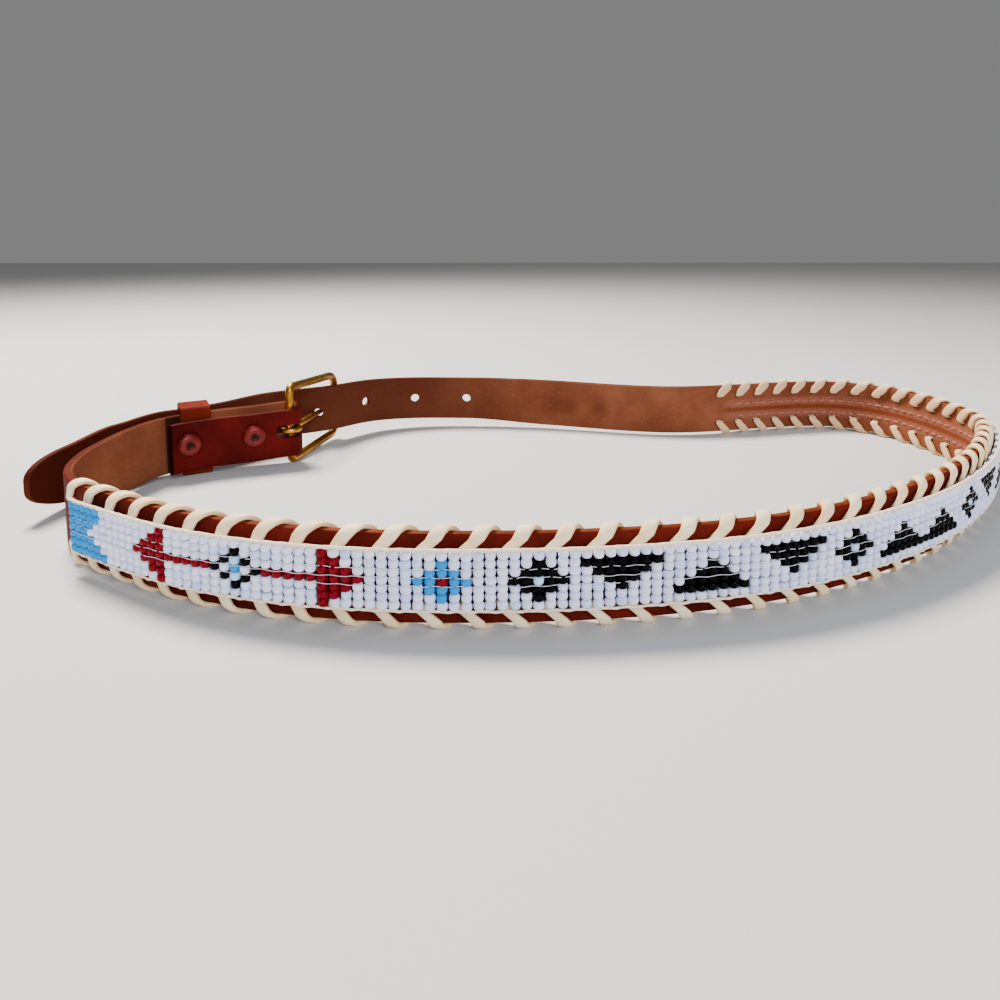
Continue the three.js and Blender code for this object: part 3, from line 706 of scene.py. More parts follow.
def edge_tone(skin, laced, mottle, fibres):
    """Dark dye, and a lighter orange-brown along the laced part."""
    laced_edge = skin.blend(fibres.rise(0.35, 0.7), colour("#602814"), colour("#854222"))
    dark = skin.blend(mottle.rise(0.35, 0.7), colour("#3e120a"), colour("#562212"))
    return skin.blend(laced * 0.75, dark, laced_edge)


# %% [markdown]
# ## The inside of the strap
# The flesh face tells most about the belt's age. Its clouds are wide, its fibres run along the strap, and its
# fuzz is fine. Over this come rubbed rows, a painted shade for a groove, two faint marks, and a darkening
# towards the billet.

# %% The flesh face
def flesh_tone(skin, far, level, laced, fibres, fuzz, patch):
    """Patches, fibres and fuzz, then rubbed rows, painted groove shade, marks and a darkening towards the
    billet. level is the height as a share of the width.
    """
    flesh = skin.blend(patch.rise(0.34, 0.68), colour("#673724"), colour("#865037"))
    flesh = skin.blend(fibres.rise(0.42, 0.75) * 0.35, flesh, colour("#64311d"))
    flesh = skin.blend(fuzz.rise(0.50, 0.75) * 0.3, flesh, colour("#8d573f"))
    from_middle = abs(level - (1 - sum(STITCH_ROWS) / 2))
    from_row = abs(from_middle - (STITCH_ROWS[1] - STITCH_ROWS[0]) / 2)
    rubbed = from_row.rise(0.13, 0.03) * laced * fuzz.rise(0.25, 0.60)
    flesh = skin.blend(rubbed * 0.75, flesh, colour("#8f5849"))
    # painted shade: a dark line between the stitch rows stands for the shade in a groove.
    groove_shade = from_middle.rise(0.07, 0.015) * laced
    flesh = skin.blend(groove_shade * 0.6, flesh, colour("#64280d"))
    marks = abs(far - MARKS[0]).rise(10, 2) + abs(far - MARKS[1]).rise(6, 1)
    flesh = skin.blend(marks * abs(level - 0.45).rise(0.25, 0.05) * 0.4, flesh, colour("#4a2212"))
    # the flesh face darkens towards the billet
    billet_start = STRAP_LENGTH - BILLET_LENGTH
    toward_billet = far.rise(billet_start - 20, billet_start + 70)
    return skin.blend(toward_billet * 0.75, flesh, colour("#421a10"))


# %% [markdown]
# ## Putting the faces together
# The side map is 1 on the outer face, -1 on the inner one and between them on the edges, so two soft
# steps are masks for the three surfaces. The fibres are a noise on length, height and side instead of
# on the place in the room, and so they follow the strap round its bends.

# %% The strap's finish
def strap_finish():
    """Edge, grain and flesh by the side. Painted shade darkens the tongue's inside near its tip and the strap's
    inner face just past the fold-back's end, whose own end is dyed dark.
    """
    skin = Finish("strap_leather", Specular_IOR_Level=LEATHER_GLOSS)
    spot, mottle, pores, wrinkle = leather_noises(skin)
    along, up = skin.map("lay")
    face, width = skin.map("side")
    far = along * 1000
    outside, inside = face.rise(0.55, 0.85), face.rise(-0.55, -0.85)
    laced = far.rise(LACED[0], LACED[0] + 6) * far.rise(LACED[1], LACED[1] - 6)
    stretched = skin.node("ShaderNodeCombineXYZ", {}, X=along * 240, Y=up * 700, Z=face)
    fibres = skin.noise(stretched, 1.0, 4, 0.65)
    fuzz = skin.noise(spot, 800, 3, 0.7)
    patch = skin.noise(spot, 22, 4, 0.55)

    grain = grain_tone(skin, far, up, laced, mottle, pores)
    tone = skin.blend(outside, edge_tone(skin, laced, mottle, fibres), grain)
    tone = skin.blend(inside, tone, flesh_tone(skin, far, up / width, laced, fibres, fuzz, patch))
    # painted shade: the tongue's inside near its tip is darkened as the shadow on it.
    tip_shade = far.rise(STRAP_LENGTH - 100, STRAP_LENGTH - 45) * inside
    tone = skin.blend(tip_shade * 0.85, tone, colour("#43140b"))
    # the fold-back's end is dyed dark; just past it the strap's inner face gets painted shade, as the shadow in
    # the gap.
    fold_end = far.rise(0.9 - BEND - FOLD_LENGTH, 0.3 - BEND - FOLD_LENGTH)
    corner = far.rise(FOLD_LENGTH - 0.2, FOLD_LENGTH - 1.6) * far.rise(FOLD_LENGTH - 10, FOLD_LENGTH - 6)
    tone = skin.blend((fold_end + corner * inside) * 0.85, tone, colour("#140403"))
    rough = 0.52 + mottle * 0.18 + inside * 0.25
    relief = (pores * 0.5 + wrinkle * 0.5) * (1 - inside) + (fibres * 0.5 + fuzz * 0.5) * inside
    return skin.wear(Base_Color=tone, Roughness=rough, Normal=skin.bump(relief, 0.00016))


strap_leather = strap_finish()
strap.data.materials.append(strap_leather)
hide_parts("strap")
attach(strap, "root")
print("strap leather nodes:", len(strap_leather.node_tree.nodes))

# %% [markdown]
# ## The edge lacing
# One flat lace spirals round each edge: out through a slot, up the outer face on the slant, over the edge
# in a round arch, down the inner face to the next slot. In the cross plane a turn is two straight legs, a
# half circle and two tight bends in the slot. It moves on along the strap as it goes, so the legs slant.
# The first turns at the buckle end slant less, as on the real belt. No lace is quite flat: its section is
# a low dome on both sides, and it swells on the inside, where the band doesn't press on it.

# %% Lay the lace
SHOULDER_OUT, SHOULDER_IN = 0.46, 0.65
SLOT_BEND = 0.75
SWELL = 0.40
SLANT_TOP, SLANT_BOTTOM = 1.28, 1.08
STEEP_AT_FIRST = (8, 11), (0.45, 1)
LACE_ACROSS = np.array([-1, -0.93, -0.66, 0, 0.66, 0.93, 1, 0.93, 0.66, 0, -0.66, -0.93])
LACE_DOME = np.array([0, -0.60, -0.88, -1, -0.88, -0.60, 0, 0.60, 0.88, 1, 0.88, 0.60])
lace_offset = GAP + LACE_THICKNESS / 2
lace_middle = STRAP_THICKNESS / 2 + lace_offset
arch_foot = lace_offset - lace_middle


def lace_turn(slant):
    """One turn in the cross plane: share of the pitch, offset from the leather's middle, height over the edge
    and fullness. Two bends, outer leg, half circle and inner leg follow each other. A small slant steepens
    the outer leg."""
    foot = -arch_foot / LACE_INSET
    leave, arrive = SHOULDER_OUT * slant * (1 - foot), SHOULDER_IN + (1 - SHOULDER_IN) * foot
    bend = np.radians([0, 30, 60, 90])
    arch = np.radians(np.linspace(0, 180, 13))
    leg = arch_foot + LACE_INSET - SLOT_BEND
    rows = []
    for side, angles in ((-1, bend[::-1]), (1, bend)):
        for a in angles:
            off = side * (lace_middle - SLOT_BEND + SLOT_BEND * np.sin(a))
            rows.append((0, off, SLOT_BEND * (1 - np.cos(a)) - LACE_INSET, 1))
    for share in (0.25, 0.5, 0.75):
        rows.append((leave * share, lace_middle, SLOT_BEND - LACE_INSET + leg * share, 1))
    for a in arch:
        on = a / math.pi
        height = arch_foot + lace_middle * np.sin(a)
        rows.append((leave + (arrive - leave) * on, lace_middle * np.cos(a), height, 1 + SWELL * on))
    for share in (0.2, 0.4, 0.6, 0.8):
        rows.append((arrive + (1 - arrive) * share, -lace_middle, arch_foot - leg * share, 1 + SWELL))
    return np.array(rows)


def lace_route():
    """All turns in a row, each one pitch further along. The last one ends in its slot."""
    slants = np.interp(np.arange(lace_turns + 1), *STEEP_AT_FIRST)
    turns = [lace_turn(slant) + (turn, 0, 0, 0) for turn, slant in enumerate(slants)]
    turns[-1] = turns[-1][:8]
    along, off, over, full = np.vstack(turns).T
    return slots[0] + along * LACE_PITCH, off, over, full


def evened(values, reach):
    """A running mean over a few neighbours on each side."""
    padded = np.pad(values, reach, mode="edge")
    return np.convolve(padded, np.full(2 * reach + 1, 1 / (2 * reach + 1)), "valid")


def lace_shape(top):
    """Sections stand square to the route in the cross plane, and their width lies along the strap, more of it
    on a slant. The maps hold the run and the place across, then how far inside the lace is and its fullness."""
    s, off, over, full = lace_route()
    way = np.gradient(np.stack([off, over], 1), axis=0)
    pace = np.linalg.norm(way, axis=1)
    way /= pace[:, None]
    spread = np.sqrt(1 + (np.gradient(s) / pace) ** 2).clip(1, SLANT_TOP if top else SLANT_BOTTOM)
    half = evened(spread * full, 2) * LACE_WIDTH / 2
    thick = np.stack([-way[:, 1], way[:, 0]], 1) * (evened(full, 2) * LACE_THICKNESS / 2)[:, None]
    where = s[:, None] + LACE_ACROSS * half[:, None]
    xy, _, out = (part.reshape(*where.shape, 2) for part in lay(where.ravel()))
    sideways = (off[:, None] + LACE_DOME * thick[:, :1])[..., None]
    lift = over[:, None] + LACE_DOME * thick[:, 1:]
    edge = strap_bottom(where) + (STRAP_WIDTH if top else 0)
    z = edge + lift if top else edge - lift
    run = np.cumsum(np.hypot(np.gradient(s), pace))
    maps = {"lay": paired(run[:, None] / 1000, LACE_ACROSS * LACE_WIDTH / 2000),
            "side": np.repeat(np.stack([-off / 1000, full], 1), len(LACE_ACROSS), 0)}
    return tube(stand(xy + out * sideways, z)), maps


top_whipping, bottom_whipping = lace_shape(True), lace_shape(False)
print("points in each lace:", len(top_whipping[0][0]), len(bottom_whipping[0][0]))

# %% [markdown]
# ## Pale lace
# The lace is cream hide: browner along its two cut edges, fine-grained and creased across its length.
# Where it runs inside the belt it is painted a darker tan, as the shade there.

# %% Lace finish
def lace_finish():
    """Cream by patches, brown by the distance from the lace's middle, and painted tan shade by the distance
    inside the belt.
    """
    hide = Finish("lace_leather", Specular_IOR_Level=0.35)
    along, across = hide.map("lay")
    spot = hide.place()
    patch = hide.noise(spot, 120, 3, 0.6)
    grain = hide.noise(spot, 1500, 3, 0.65)
    creases = hide.noise(hide.node("ShaderNodeCombineXYZ", {}, X=along * 900, Y=across * 150), 1.0, 2, 0.5)
    tone = hide.blend(patch.rise(0.3, 0.7), colour("#f5d6a4"), colour("#fff0cc"))
    tone = hide.blend(abs(across).rise(0.0011, 0.00158) * 0.5, tone, colour("#cf9650"))
    tone = hide.blend(grain.rise(0.58, 0.75) * 0.2, tone, colour("#c4a174"))
    inwards, _ = hide.map("side")
    # painted shade: the legs inside the belt are darkened to tan.
    tone = hide.blend(inwards.rise(0.0002, 0.0020) * (0.48 + patch * 0.3), tone, colour("#c48f6a"))
    relief = grain * 0.4 + creases * 0.6
    return hide.wear(Base_Color=tone, Roughness=0.5 + grain * 0.2, Normal=hide.bump(relief, 0.00012))


ivory_hide = lace_finish()
for node, shape in (("top_lace", top_whipping), ("bottom_lace", bottom_whipping)):
    lace = piece(node.replace("_lace", "_whipping"), *shape)
    lace.data.materials.append(ivory_hide)
    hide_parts(node)
    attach(lace, "root")
    tell(lace)

# %% [markdown]
# ## Charting the beads
# A loomed band is a chart: seven rows, one letter for a bead. The pattern reads the same from both
# ends, so only the left half is written. It has a sky-blue end, an arrow pointing both ways with a
# small diamond in its shaft, a flower, and then a frieze of stepped hills and kites.

# %% The chart
BLUE_END = ["bbbbb.", "bbbbb.", "bbbb..", "bbb...", "bbbb..", "bbbbb.", "bbbbbb"]
GROUND = ["...."] * 7
HEAD = ["...r", "..rr", ".rrr", "rrrr", ".rrr", "..rr", "...r"]
SHAFT = [".....", ".....", ".....", "rrrrr", ".....", ".....", "....."]
DIAMOND = [".....", "..k..", ".kpk.", "k.b.k", ".kpk.", "..k..", "....."]
FLOWER = [".....", "..b..", ".bbb.", "bbrbb", ".bbb.", "..b..", "....."]
THREE = ["..."] * 7
KITE = ["......", "..k...", ".kkk..", "kkpkk.", ".kkk..", "..k...", "......"]
HILL_DOWN = ["........", "kkkkkkk.", ".kkkkk..", "..kkk...", "...k....", "........", "........"]
HILL_UP = ["........", "........", "...k....", "..kkk...", ".kkkkk..", "kkkkkkk.", "........"]


def side_by_side(*charts):
    """Charts of equal height as one, row by row."""
    return ["".join(rows) for rows in zip(*charts)]


def mirrored(chart):
    """The chart read from its other end."""
    return [row[::-1] for row in chart]


arrow = side_by_side(HEAD, SHAFT, DIAMOND, SHAFT, mirrored(HEAD))
frieze = side_by_side(KITE, HILL_DOWN, HILL_UP, HILL_DOWN, KITE, [row[:7] for row in HILL_UP])
half = side_by_side(BLUE_END, GROUND, arrow, GROUND, FLOWER, THREE, frieze)
chart = side_by_side(half, mirrored(half))
letters = np.array([list(row) for row in chart])
ROWS, COLUMNS = letters.shape
print(f"chart: {ROWS} rows, {COLUMNS} columns, {letters.size} beads")

# %% [markdown]
# ## Glass seed beads
# A seed bead is a short barrel with rounded shoulders and a hole, and no two are alike. Rows of a loomed band
# wander a little, so each column gets a small shift and each bead its own size, all from one fixed seed. The
# beads of one glass differ slightly in colour, which is stored on the points and read by the material.

# %% Bead the band
BEAD_DIAMETER = 2.7
BAND_ABOVE_EDGE = 4.7
BAND_INSET = 6.2
ROW_PITCH = 1.98
LOWER_CORD = 0.55
BEAD_SIDES = 10
SEED = 7
bottom_row = BAND_ABOVE_EDGE + LOWER_CORD
band_start, band_end = slots[0] + BAND_INSET, slots[-1] - BAND_INSET
column_pitch = (band_end - band_start) / COLUMNS
band_out = STRAP_THICKNESS / 2 + LACE_THICKNESS + 2 * GAP + BEAD_DIAMETER / 2
chance = np.random.default_rng(SEED)
GLASS = {".": "#e1e5ff", "p": "#b3d6f9", "b": "#1789cf", "r": "#700516", "k": "#000001"}
TINTED = "#cdd9fd"


def bead_middle():
    """Lengths and heights of the beads' middles, wandering by column and by bead."""
    s = band_start + (np.arange(COLUMNS) + 0.5) * column_pitch + chance.normal(0, 0.05, (ROWS, COLUMNS))
    fourth = np.arange(0, COLUMNS, 4)
    slow = np.interp(np.arange(COLUMNS), fourth, chance.normal(0, 0.10, len(fourth)))
    z = bottom_row + (ROWS - np.arange(ROWS) - 0.5)[:, None] * ROW_PITCH
    z = z + slow + chance.normal(0, 0.07, COLUMNS) + chance.normal(0, 0.05, (ROWS, COLUMNS))
    return s, z + strap_bottom(s)


def bead_grid(s, z):
    """Barrels: a closed profile of radius and height, turned round the upright hole, each a little wider or
    narrower, taller or shorter, and leaning along the band."""
    radius = np.array([0.40, 0.74, 0.93, 1.0, 0.93, 0.74, 0.40])
    level = np.array([1.0, 0.93, 0.60, 0.0, -0.60, -0.93, -1.0])
    turn = np.linspace(0, 2 * math.pi, BEAD_SIDES, endpoint=False)
    wide = (column_pitch / 2 - 0.03) * (1 + chance.normal(0, 0.035, s.shape))[..., None, None]
    tall = (ROW_PITCH / 2) * (1 + chance.normal(0, 0.025, s.shape))[..., None, None]
    lean = chance.normal(0, 0.04, s.shape)[..., None, None]
    up = level[:, None] * tall
    along = radius[:, None] * np.cos(turn) * wide + up * lean
    depth = radius[:, None] * np.sin(turn) * (BEAD_DIAMETER / 2 - 0.05)
    xy, ahead, out = (part.reshape(*s.shape, 1, 1, 2) for part in lay(s.ravel()))
    plan = xy + ahead * along[..., None] + out * (band_out + depth)[..., None]
    return stand(plan, z[..., None, None] + up)


def bead_faces(count, rings, around):
    """One bead's quads, repeated with the point numbers of each next bead."""
    one = grid_quads(rings, around, loop_rows=True)
    return (one[None] + (np.arange(count) * rings * around)[:, None, None]).reshape(-1, 4)


def bead_colours():
    """The chart's colours, some whites tinted, each bead a little lighter or darker."""
    base = np.array([[colour(GLASS[mark])[:3] for mark in row] for row in letters])
    tinted = (letters == ".") & (chance.random(letters.shape) < 0.16)
    base[tinted] = colour(TINTED)[:3]
    tone = base * (1 + chance.normal(0, 0.05, letters.shape))[..., None]
    return np.concatenate([tone.clip(0, 1), np.ones((*letters.shape, 1))], -1)


bead_s, bead_z = bead_middle()
beads_at = bead_grid(bead_s, bead_z)
points = beads_at.reshape(-1, 3)
faces = bead_faces(letters.size, *beads_at.shape[2:4])
if volume(points - points.mean(0), faces) < 0:
    faces = faces[:, ::-1]
beads = piece("seed_beads", (points, faces.tolist()))
shade = beads.data.attributes.new("glass", "FLOAT_COLOR", "POINT")
points_each = np.prod(beads_at.shape[2:4])
shade.data.foreach_set("color", np.repeat(bead_colours().reshape(-1, 4), points_each, 0).ravel())
tell(beads)

# %% [markdown]
# ## Opaque glass
# Opaque bead glass is smooth, but in the soft light of the picture its highlights are faint and the
# black beads stay black, so the specular level is low. A faint waviness keeps the surface from being
# perfect, and the colour comes from each bead's own points.

# %% Glass finish
glass = Finish("bead_glass", Specular_IOR_Level=0.06, IOR=1.5)
own = glass.node("ShaderNodeAttribute", {"attribute_name": "glass"})
streak = glass.noise(glass.place(), 900, 2, 0.5)
glass.wear(Base_Color=own, Roughness=0.12 + streak * 0.12, Normal=glass.bump(streak, 0.00004))
beads.data.materials.append(glass.material)
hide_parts("bead_panel")
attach(beads, "root")
print("glass colours:", GLASS)

# %% [markdown]
# ## Thread
# On a loom the long threads lie between the rows of beads and show as thin white lines across the dark
# ones. On this belt three of them come forward, between the middle rows, and only here and there. The
# edge threads are doubled and wrapped by the cross thread, so they look like thin cords along the band.

# %% Long threads and edge cords
PEEK_EVERY = 9
WARP_RADIUS = 0.075
UPPER_CORD_RADIUS, LOWER_CORD_RADIUS = 0.46, 0.30


def thread(row_line, radius, sway, sides, per_column, ripple=0.0, forward=0.62, peek=0.0, short=0.3):
    """A thin tube at a height above the strap's lower edge. It sways once in two columns and swells by
    ripple once in each. It lies forward by a share of a bead's radius, by peek more or less from place to
    place."""
    count = COLUMNS * per_column
    s = np.linspace(band_start + short, band_end - short, count)
    phase = (s - band_start) / column_pitch * 2 * math.pi
    places = np.arange(band_start, band_end + PEEK_EVERY, PEEK_EVERY)
    peeking = np.interp(s, places, chance.uniform(-1, 1, len(places)))
    z = strap_bottom(s) + row_line + sway * np.sin(phase / 2 + row_line) + sway * 0.5 * np.cos(phase)
    forward_by = band_out + BEAD_DIAMETER / 2 * (forward + peek * peeking) + 0.10 * np.cos(phase)
    thick = radius * (1 + ripple * np.cos(phase))
    turn = np.linspace(0, 2 * math.pi, sides, endpoint=False)
    xy, _, out = lay(s)
    depth = forward_by[:, None] + thick[:, None] * np.cos(turn)
    plan = xy[:, None] + out[:, None] * depth[..., None]
    return tube(stand(plan, z[:, None] + thick[:, None] * np.sin(turn)))


between = []
for row, forward in ((3, 0.70), (4, 0.77), (5, 0.70)):
    line = bottom_row + ROW_PITCH * row
    between.append(thread(line, WARP_RADIUS, 0.12, 5, 4, forward=forward, peek=0.2, short=1.6))
warp = piece("warp_threads", join(between))
upper = thread(bottom_row + ROW_PITCH * ROWS + 0.40, UPPER_CORD_RADIUS, 0.04, 8, 6, 0.10, 0.35)
lower = thread(bottom_row - 0.22, LOWER_CORD_RADIUS, 0.10, 8, 6, 0.15, 0.45)
cords = piece("edge_cords", join([upper, lower]))

# %% [markdown]
# ## Cotton
# Cotton thread is matt and slightly fuzzy. A fine noise shades its twist, and a touch of sheen stands
# for the fuzz. The threads are cool white, and the cords are painted a warm cream as the warm light on them.

# %% Cotton finish
# painted light: the cords' warm cream tint stands for the warm light on them.
COTTONS = ((warp, "warp_cotton", "#cfd0dc", "#f0f0fa"), (cords, "cord_cotton", "#f0d8bc", "#ffeedb"))
for strand, name, shaded, lit in COTTONS:
    cotton = Finish(name, Specular_IOR_Level=0.2, Sheen_Weight=0.2)
    twist = cotton.noise(cotton.place((1, 1, 1)), 2600, 2, 0.6)
    tone = cotton.blend(twist.rise(0.35, 0.7), colour(shaded), colour(lit))
    cotton.wear(Base_Color=tone, Roughness=0.85, Normal=cotton.bump(twist, 0.00015))
    strand.data.materials.append(cotton.material)
    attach(strand, "root")
    tell(strand)

# %% [markdown]
# ## Stitches on the flesh side
# The band is sewn to the strap in one long round: along under its top rows and back above its bottom
# rows. On the inside only the stitches show. Each is short and pinkish, thickest in its middle, and
# sinks into the leather at both ends, with a small blank before the next.

# %% Sew the inner rows
STITCH_LENGTH = 3.7
STITCH_PITCH = 4.3
STITCH_RADIUS = 0.5
POINTS_PER_ROW = 900


def stitch_path():
    """Lengths and depths below the top edge, once round the two rows with half-circle ends."""
    upper, lower = (share * STRAP_WIDTH for share in STITCH_ROWS)
    bend = (lower - upper) / 2
    s0, s1 = band_start + bend, band_end - bend
    turn = np.linspace(-math.pi / 2, math.pi / 2, 12)
    there = np.stack([np.linspace(s0, s1, POINTS_PER_ROW), np.full(POINTS_PER_ROW, upper)], 1)
    back = np.stack([np.linspace(s1, s0, POINTS_PER_ROW), np.full(POINTS_PER_ROW, lower)], 1)
    right = np.stack([s1 + bend * np.cos(turn), (upper + lower) / 2 + bend * np.sin(turn)], 1)
    left = np.stack([s0 - bend * np.cos(turn), (upper + lower) / 2 - bend * np.sin(turn)], 1)
    return np.vstack([there, right[1:-1], back, left[1:-1]])


def stitches():
    """Short tubes along the path. A sine lifts each one's middle out of the leather and thins its ends."""
    path = stitch_path()
    mark = np.concatenate([[0], np.cumsum(np.hypot(*np.diff(path, axis=0).T))])
    count = int(mark[-1] / STITCH_PITCH)
    start = (np.arange(count) + 0.2) * mark[-1] / count + chance.normal(0, 0.12, count)
    long = STITCH_LENGTH * (1 + chance.normal(0, 0.07, count))
    share = np.linspace(0, 1, 6)
    where = start[:, None] + long[:, None] * share
    s, down = (np.interp(where, mark, path[:, i]) for i in (0, 1))
    down = down + chance.normal(0, 0.10, (count, 1)) * np.linspace(-1, 1, 6)
    arch = np.sin(share * math.pi) ** 0.5 * 0.5 - 0.42
    xy, _, out = (part.reshape(count, 6, 2) for part in lay(s.ravel()))
    turn = np.linspace(0, 2 * math.pi, 6, endpoint=False)
    thick = STITCH_RADIUS * (0.55 + 0.45 * np.sin(share * math.pi)[:, None])
    depth = -(STRAP_THICKNESS / 2 + arch)[:, None] + thick * np.cos(turn)
    plan = xy[:, :, None] + out[:, :, None] * depth[None, ..., None]
    z = (strap_bottom(s) + STRAP_WIDTH - down)[..., None] + thick * np.sin(turn) * 1.25
    return join([tube(grid) for grid in stand(plan, z)])


inner_stitches = piece("inner_stitches", stitches())
pink = Finish("pink_thread", Specular_IOR_Level=0.2)
strands = pink.noise(pink.place(), 1500, 3, 0.6)
tone = pink.blend(strands.rise(0.35, 0.7), colour("#85503f"), colour("#a87260"))
pink.wear(Base_Color=tone, Roughness=0.8, Normal=pink.bump(strands, 0.00015))
inner_stitches.data.materials.append(pink.material)
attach(inner_stitches, "root")
tell(inner_stitches)

# %% [markdown]
# ## The brass frame and prong
# The frame is one bent wire. Its outline is walked point by point in the upright plane through both
# bars, and a round section is carried along it. Its front bar is a little lower than its heel bar.
# The prong is a ring round the heel bar with a tapering pin that rests on the front bar.

# %% Bend the wire
WIRE_AROUND = 20
frame_across = np.array([frame_ahead[1], -frame_ahead[0]])


def arc(middle, radius, start, end, steps=14):
    """Points of a circle from one angle to another, in degrees."""
    turn = np.radians(np.linspace(start, end, steps))
    return np.stack([middle[0] + radius * np.cos(turn), middle[1] + radius * np.sin(turn)], 1)


def frame_outline():
    """Once round through the middle of the wire: distance from the heel bar, and height."""
    low, high = FRAME_WIRE / 2, FRAME_HEIGHT - FRAME_WIRE / 2
    heel_low, heel_high = low + FRAME_HEEL_CORNER, high - FRAME_HEEL_CORNER
    front_low, front_high = low + FRAME_TAPER + FRAME_CORNER, high - FRAME_TAPER - FRAME_CORNER
    near, far = FRAME_HEEL_CORNER, frame_reach - FRAME_CORNER
    corners = [
        arc((near, heel_high), FRAME_HEEL_CORNER, 180, 90),
        arc((far, front_high), FRAME_CORNER, 90, 0),
        arc((far, front_low), FRAME_CORNER, 0, -90),
        arc((near, heel_low), FRAME_HEEL_CORNER, -90, -180),
    ]
    share = np.linspace(0, 1, 11)[1:-1, None]
    straights = [a[-1] + (b[0] - a[-1]) * share for a, b in zip(corners, corners[1:] + corners[:1])]
    return np.vstack([part for pair in zip(corners, straights) for part in pair])


def frame_shape():
    """A circle at each outline point, in the plane across the wire's way there."""
    line = frame_outline()
    way = np.roll(line, -1, 0) - np.roll(line, 1, 0)
    way /= np.linalg.norm(way, axis=1, keepdims=True)
    turn = np.linspace(0, 2 * math.pi, WIRE_AROUND, endpoint=False)
    across, aside = FRAME_WIRE / 2 * np.cos(turn), FRAME_WIRE / 2 * np.sin(turn)
    x = line[:, :1] + way[:, 1:] * across
    z = line[:, 1:] - way[:, :1] * across
    return tube(stand(bar_at + x[..., None] * frame_ahead + aside[:, None] * frame_across, z), closed=True)


def prong_shapes():
    """A torus about the heel bar, and circles of shrinking radius along the pin."""
    ring_radius = FRAME_WIRE / 2 + GAP + PRONG_WIRE / 2
    big = np.linspace(0, 2 * math.pi, 40, endpoint=False)
    small = np.linspace(0, 2 * math.pi, 16, endpoint=False)
    reach = ring_radius + PRONG_WIRE / 2 * np.cos(small)[None, :]
    ring_xy = bar_at + reach[..., None] * np.stack([np.cos(big), np.sin(big)], 1)[:, None]
    ring = tube(stand(ring_xy, heel_middle + PRONG_WIRE / 2 * np.sin(small)), closed=True)
    start = bar_at + prong_ahead * ring_radius
    end = prong_tip + prong_ahead * PRONG_OVERLAP / 2
    share = np.array([0, 0.25, 0.5, 0.75, 0.9, 0.96, 0.99, 1.0])
    radius = PRONG_WIRE / 2 * np.array([1, 0.97, 0.92, 0.84, 0.78, 0.72, 0.5, 0.16])
    middle = start + (end - start) * share[:, None]
    side = turned(prong_ahead[None])[0]
    pin_xy = middle[:, None] + side * (radius[:, None] * np.cos(small))[..., None]
    pin = tube(stand(pin_xy, heel_middle + radius[:, None] * np.sin(small)))
    return join([ring, pin])


brass_pieces = (("brass_frame", "buckle_frame", frame_shape()), ("brass_prong", "prong", prong_shapes()))
print("points in the frame and prong:", [len(shape[0]) for _, _, shape in brass_pieces])

# %% [markdown]
# ## Old brass
# Handled brass stays gold where it is rubbed and goes brown elsewhere. One noise gives the brown
# patches, which are also duller, and a stretched one gives fine scratches.

# %% Brass finish
brass = Finish("aged_brass", Metallic=1.0)
tarnish = brass.noise(brass.place(), 220, 4, 0.6)
scratch = brass.noise(brass.place((1, 1, 6)), 900, 2, 0.6)
tone = brass.blend(tarnish.rise(0.25, 0.80), colour("#d39a38"), colour("#74441a"))
rough = 0.22 + tarnish * 0.22 + scratch.rise(0.6, 0.75) * 0.12
brass.wear(Base_Color=tone, Roughness=rough, Normal=brass.bump(scratch, 0.00004))
for name, node, shape in brass_pieces:
    metal = piece(name, shape)
    metal.data.materials.append(brass.material)
    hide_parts(node)
    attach(metal, "root")
    tell(metal)

# %% [markdown]
# ## Keeper
# The keeper is a strip of leather closed into a square loop. It goes round the strap and the tongue,
# and its inner wall lies between the strap and the fold-back, which the snaps hold on top of it. The
# room inside is measured from the strap itself, so the loop fits at whatever slant the tongue passes.

# %% Close the keeper
KEEPER_REACH = 30
KEEPER_SOFT = 0.35
KEEPER_CORNER = 0.5


def keeper_room():
    """Where the keeper is, and the inside of its loop: the strap and the tongue that pass through it."""
    (middle,), (way,), (side,) = lay(KEEPER_FROM_HEEL)
    s = np.arange(0, STRAP_LENGTH, 0.5)
    off = lay(s)[0] - middle
    passing = (np.hypot(*off.T) < KEEPER_REACH) & (np.abs(off @ way) < KEEPER_WIDTH / 2 + GAP)
    aside = off[passing] @ side
    low, high = strap_edges(s[passing])
    room = STRAP_THICKNESS / 2 + GAP
    return middle, way, side, (aside.min() - room, aside.max() + room, low.min() - GAP, high.max() + GAP)


def rounded_box(left, right, low, high, radius, steps=6):
    """A rectangle's outline with a quarter circle at each corner."""
    turn = np.radians(np.linspace(0, 90, steps))
    quarter = np.stack([np.cos(turn), np.sin(turn)], 1) * radius
    spin = np.array([[0, -1], [1, 0]])
    corners = [(right - radius, high - radius), (left + radius, high - radius), (left + radius, low + radius),
               (right - radius, low + radius)]
    quarters = [quarter @ np.linalg.matrix_power(spin, i).T for i in range(4)]
    return np.vstack([np.array(corner) + bend for corner, bend in zip(corners, quarters)])


def keeper_loop():
    """The strip's section with bevelled corners, carried round a rounded rectangle. A section point is its
    distance from the inside, the end of the width that it is at, and how far it is pulled in from there."""
    middle, way, side, (left, right, low, high) = keeper_room()
    wall, soft = KEEPER_THICKNESS, KEEPER_SOFT
    section = [(soft, -1, 0), (0, -1, soft), (0, 1, -soft), (soft, 1, 0)]
    section += [(wall - soft, 1, 0), (wall, 1, -soft), (wall, -1, soft), (wall - soft, -1, 0)]
    rows = []
    for over, end, pull in section:
        ring = rounded_box(left - over, right + over, low - over, high + over, KEEPER_CORNER + over)
        xy = middle + ring[:, :1] * side + way * (end * KEEPER_WIDTH / 2 + pull)
        rows.append(stand(xy, ring[:, 1]))
    return tube(np.stack(rows, 1), closed=True)


keeper = piece("leather_keeper", keeper_loop(), sharp=50)
cut(keeper, snap_holes)
keeper.data.materials.append(keeper_leather)
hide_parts("keeper")
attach(keeper, "root")
tell(keeper)
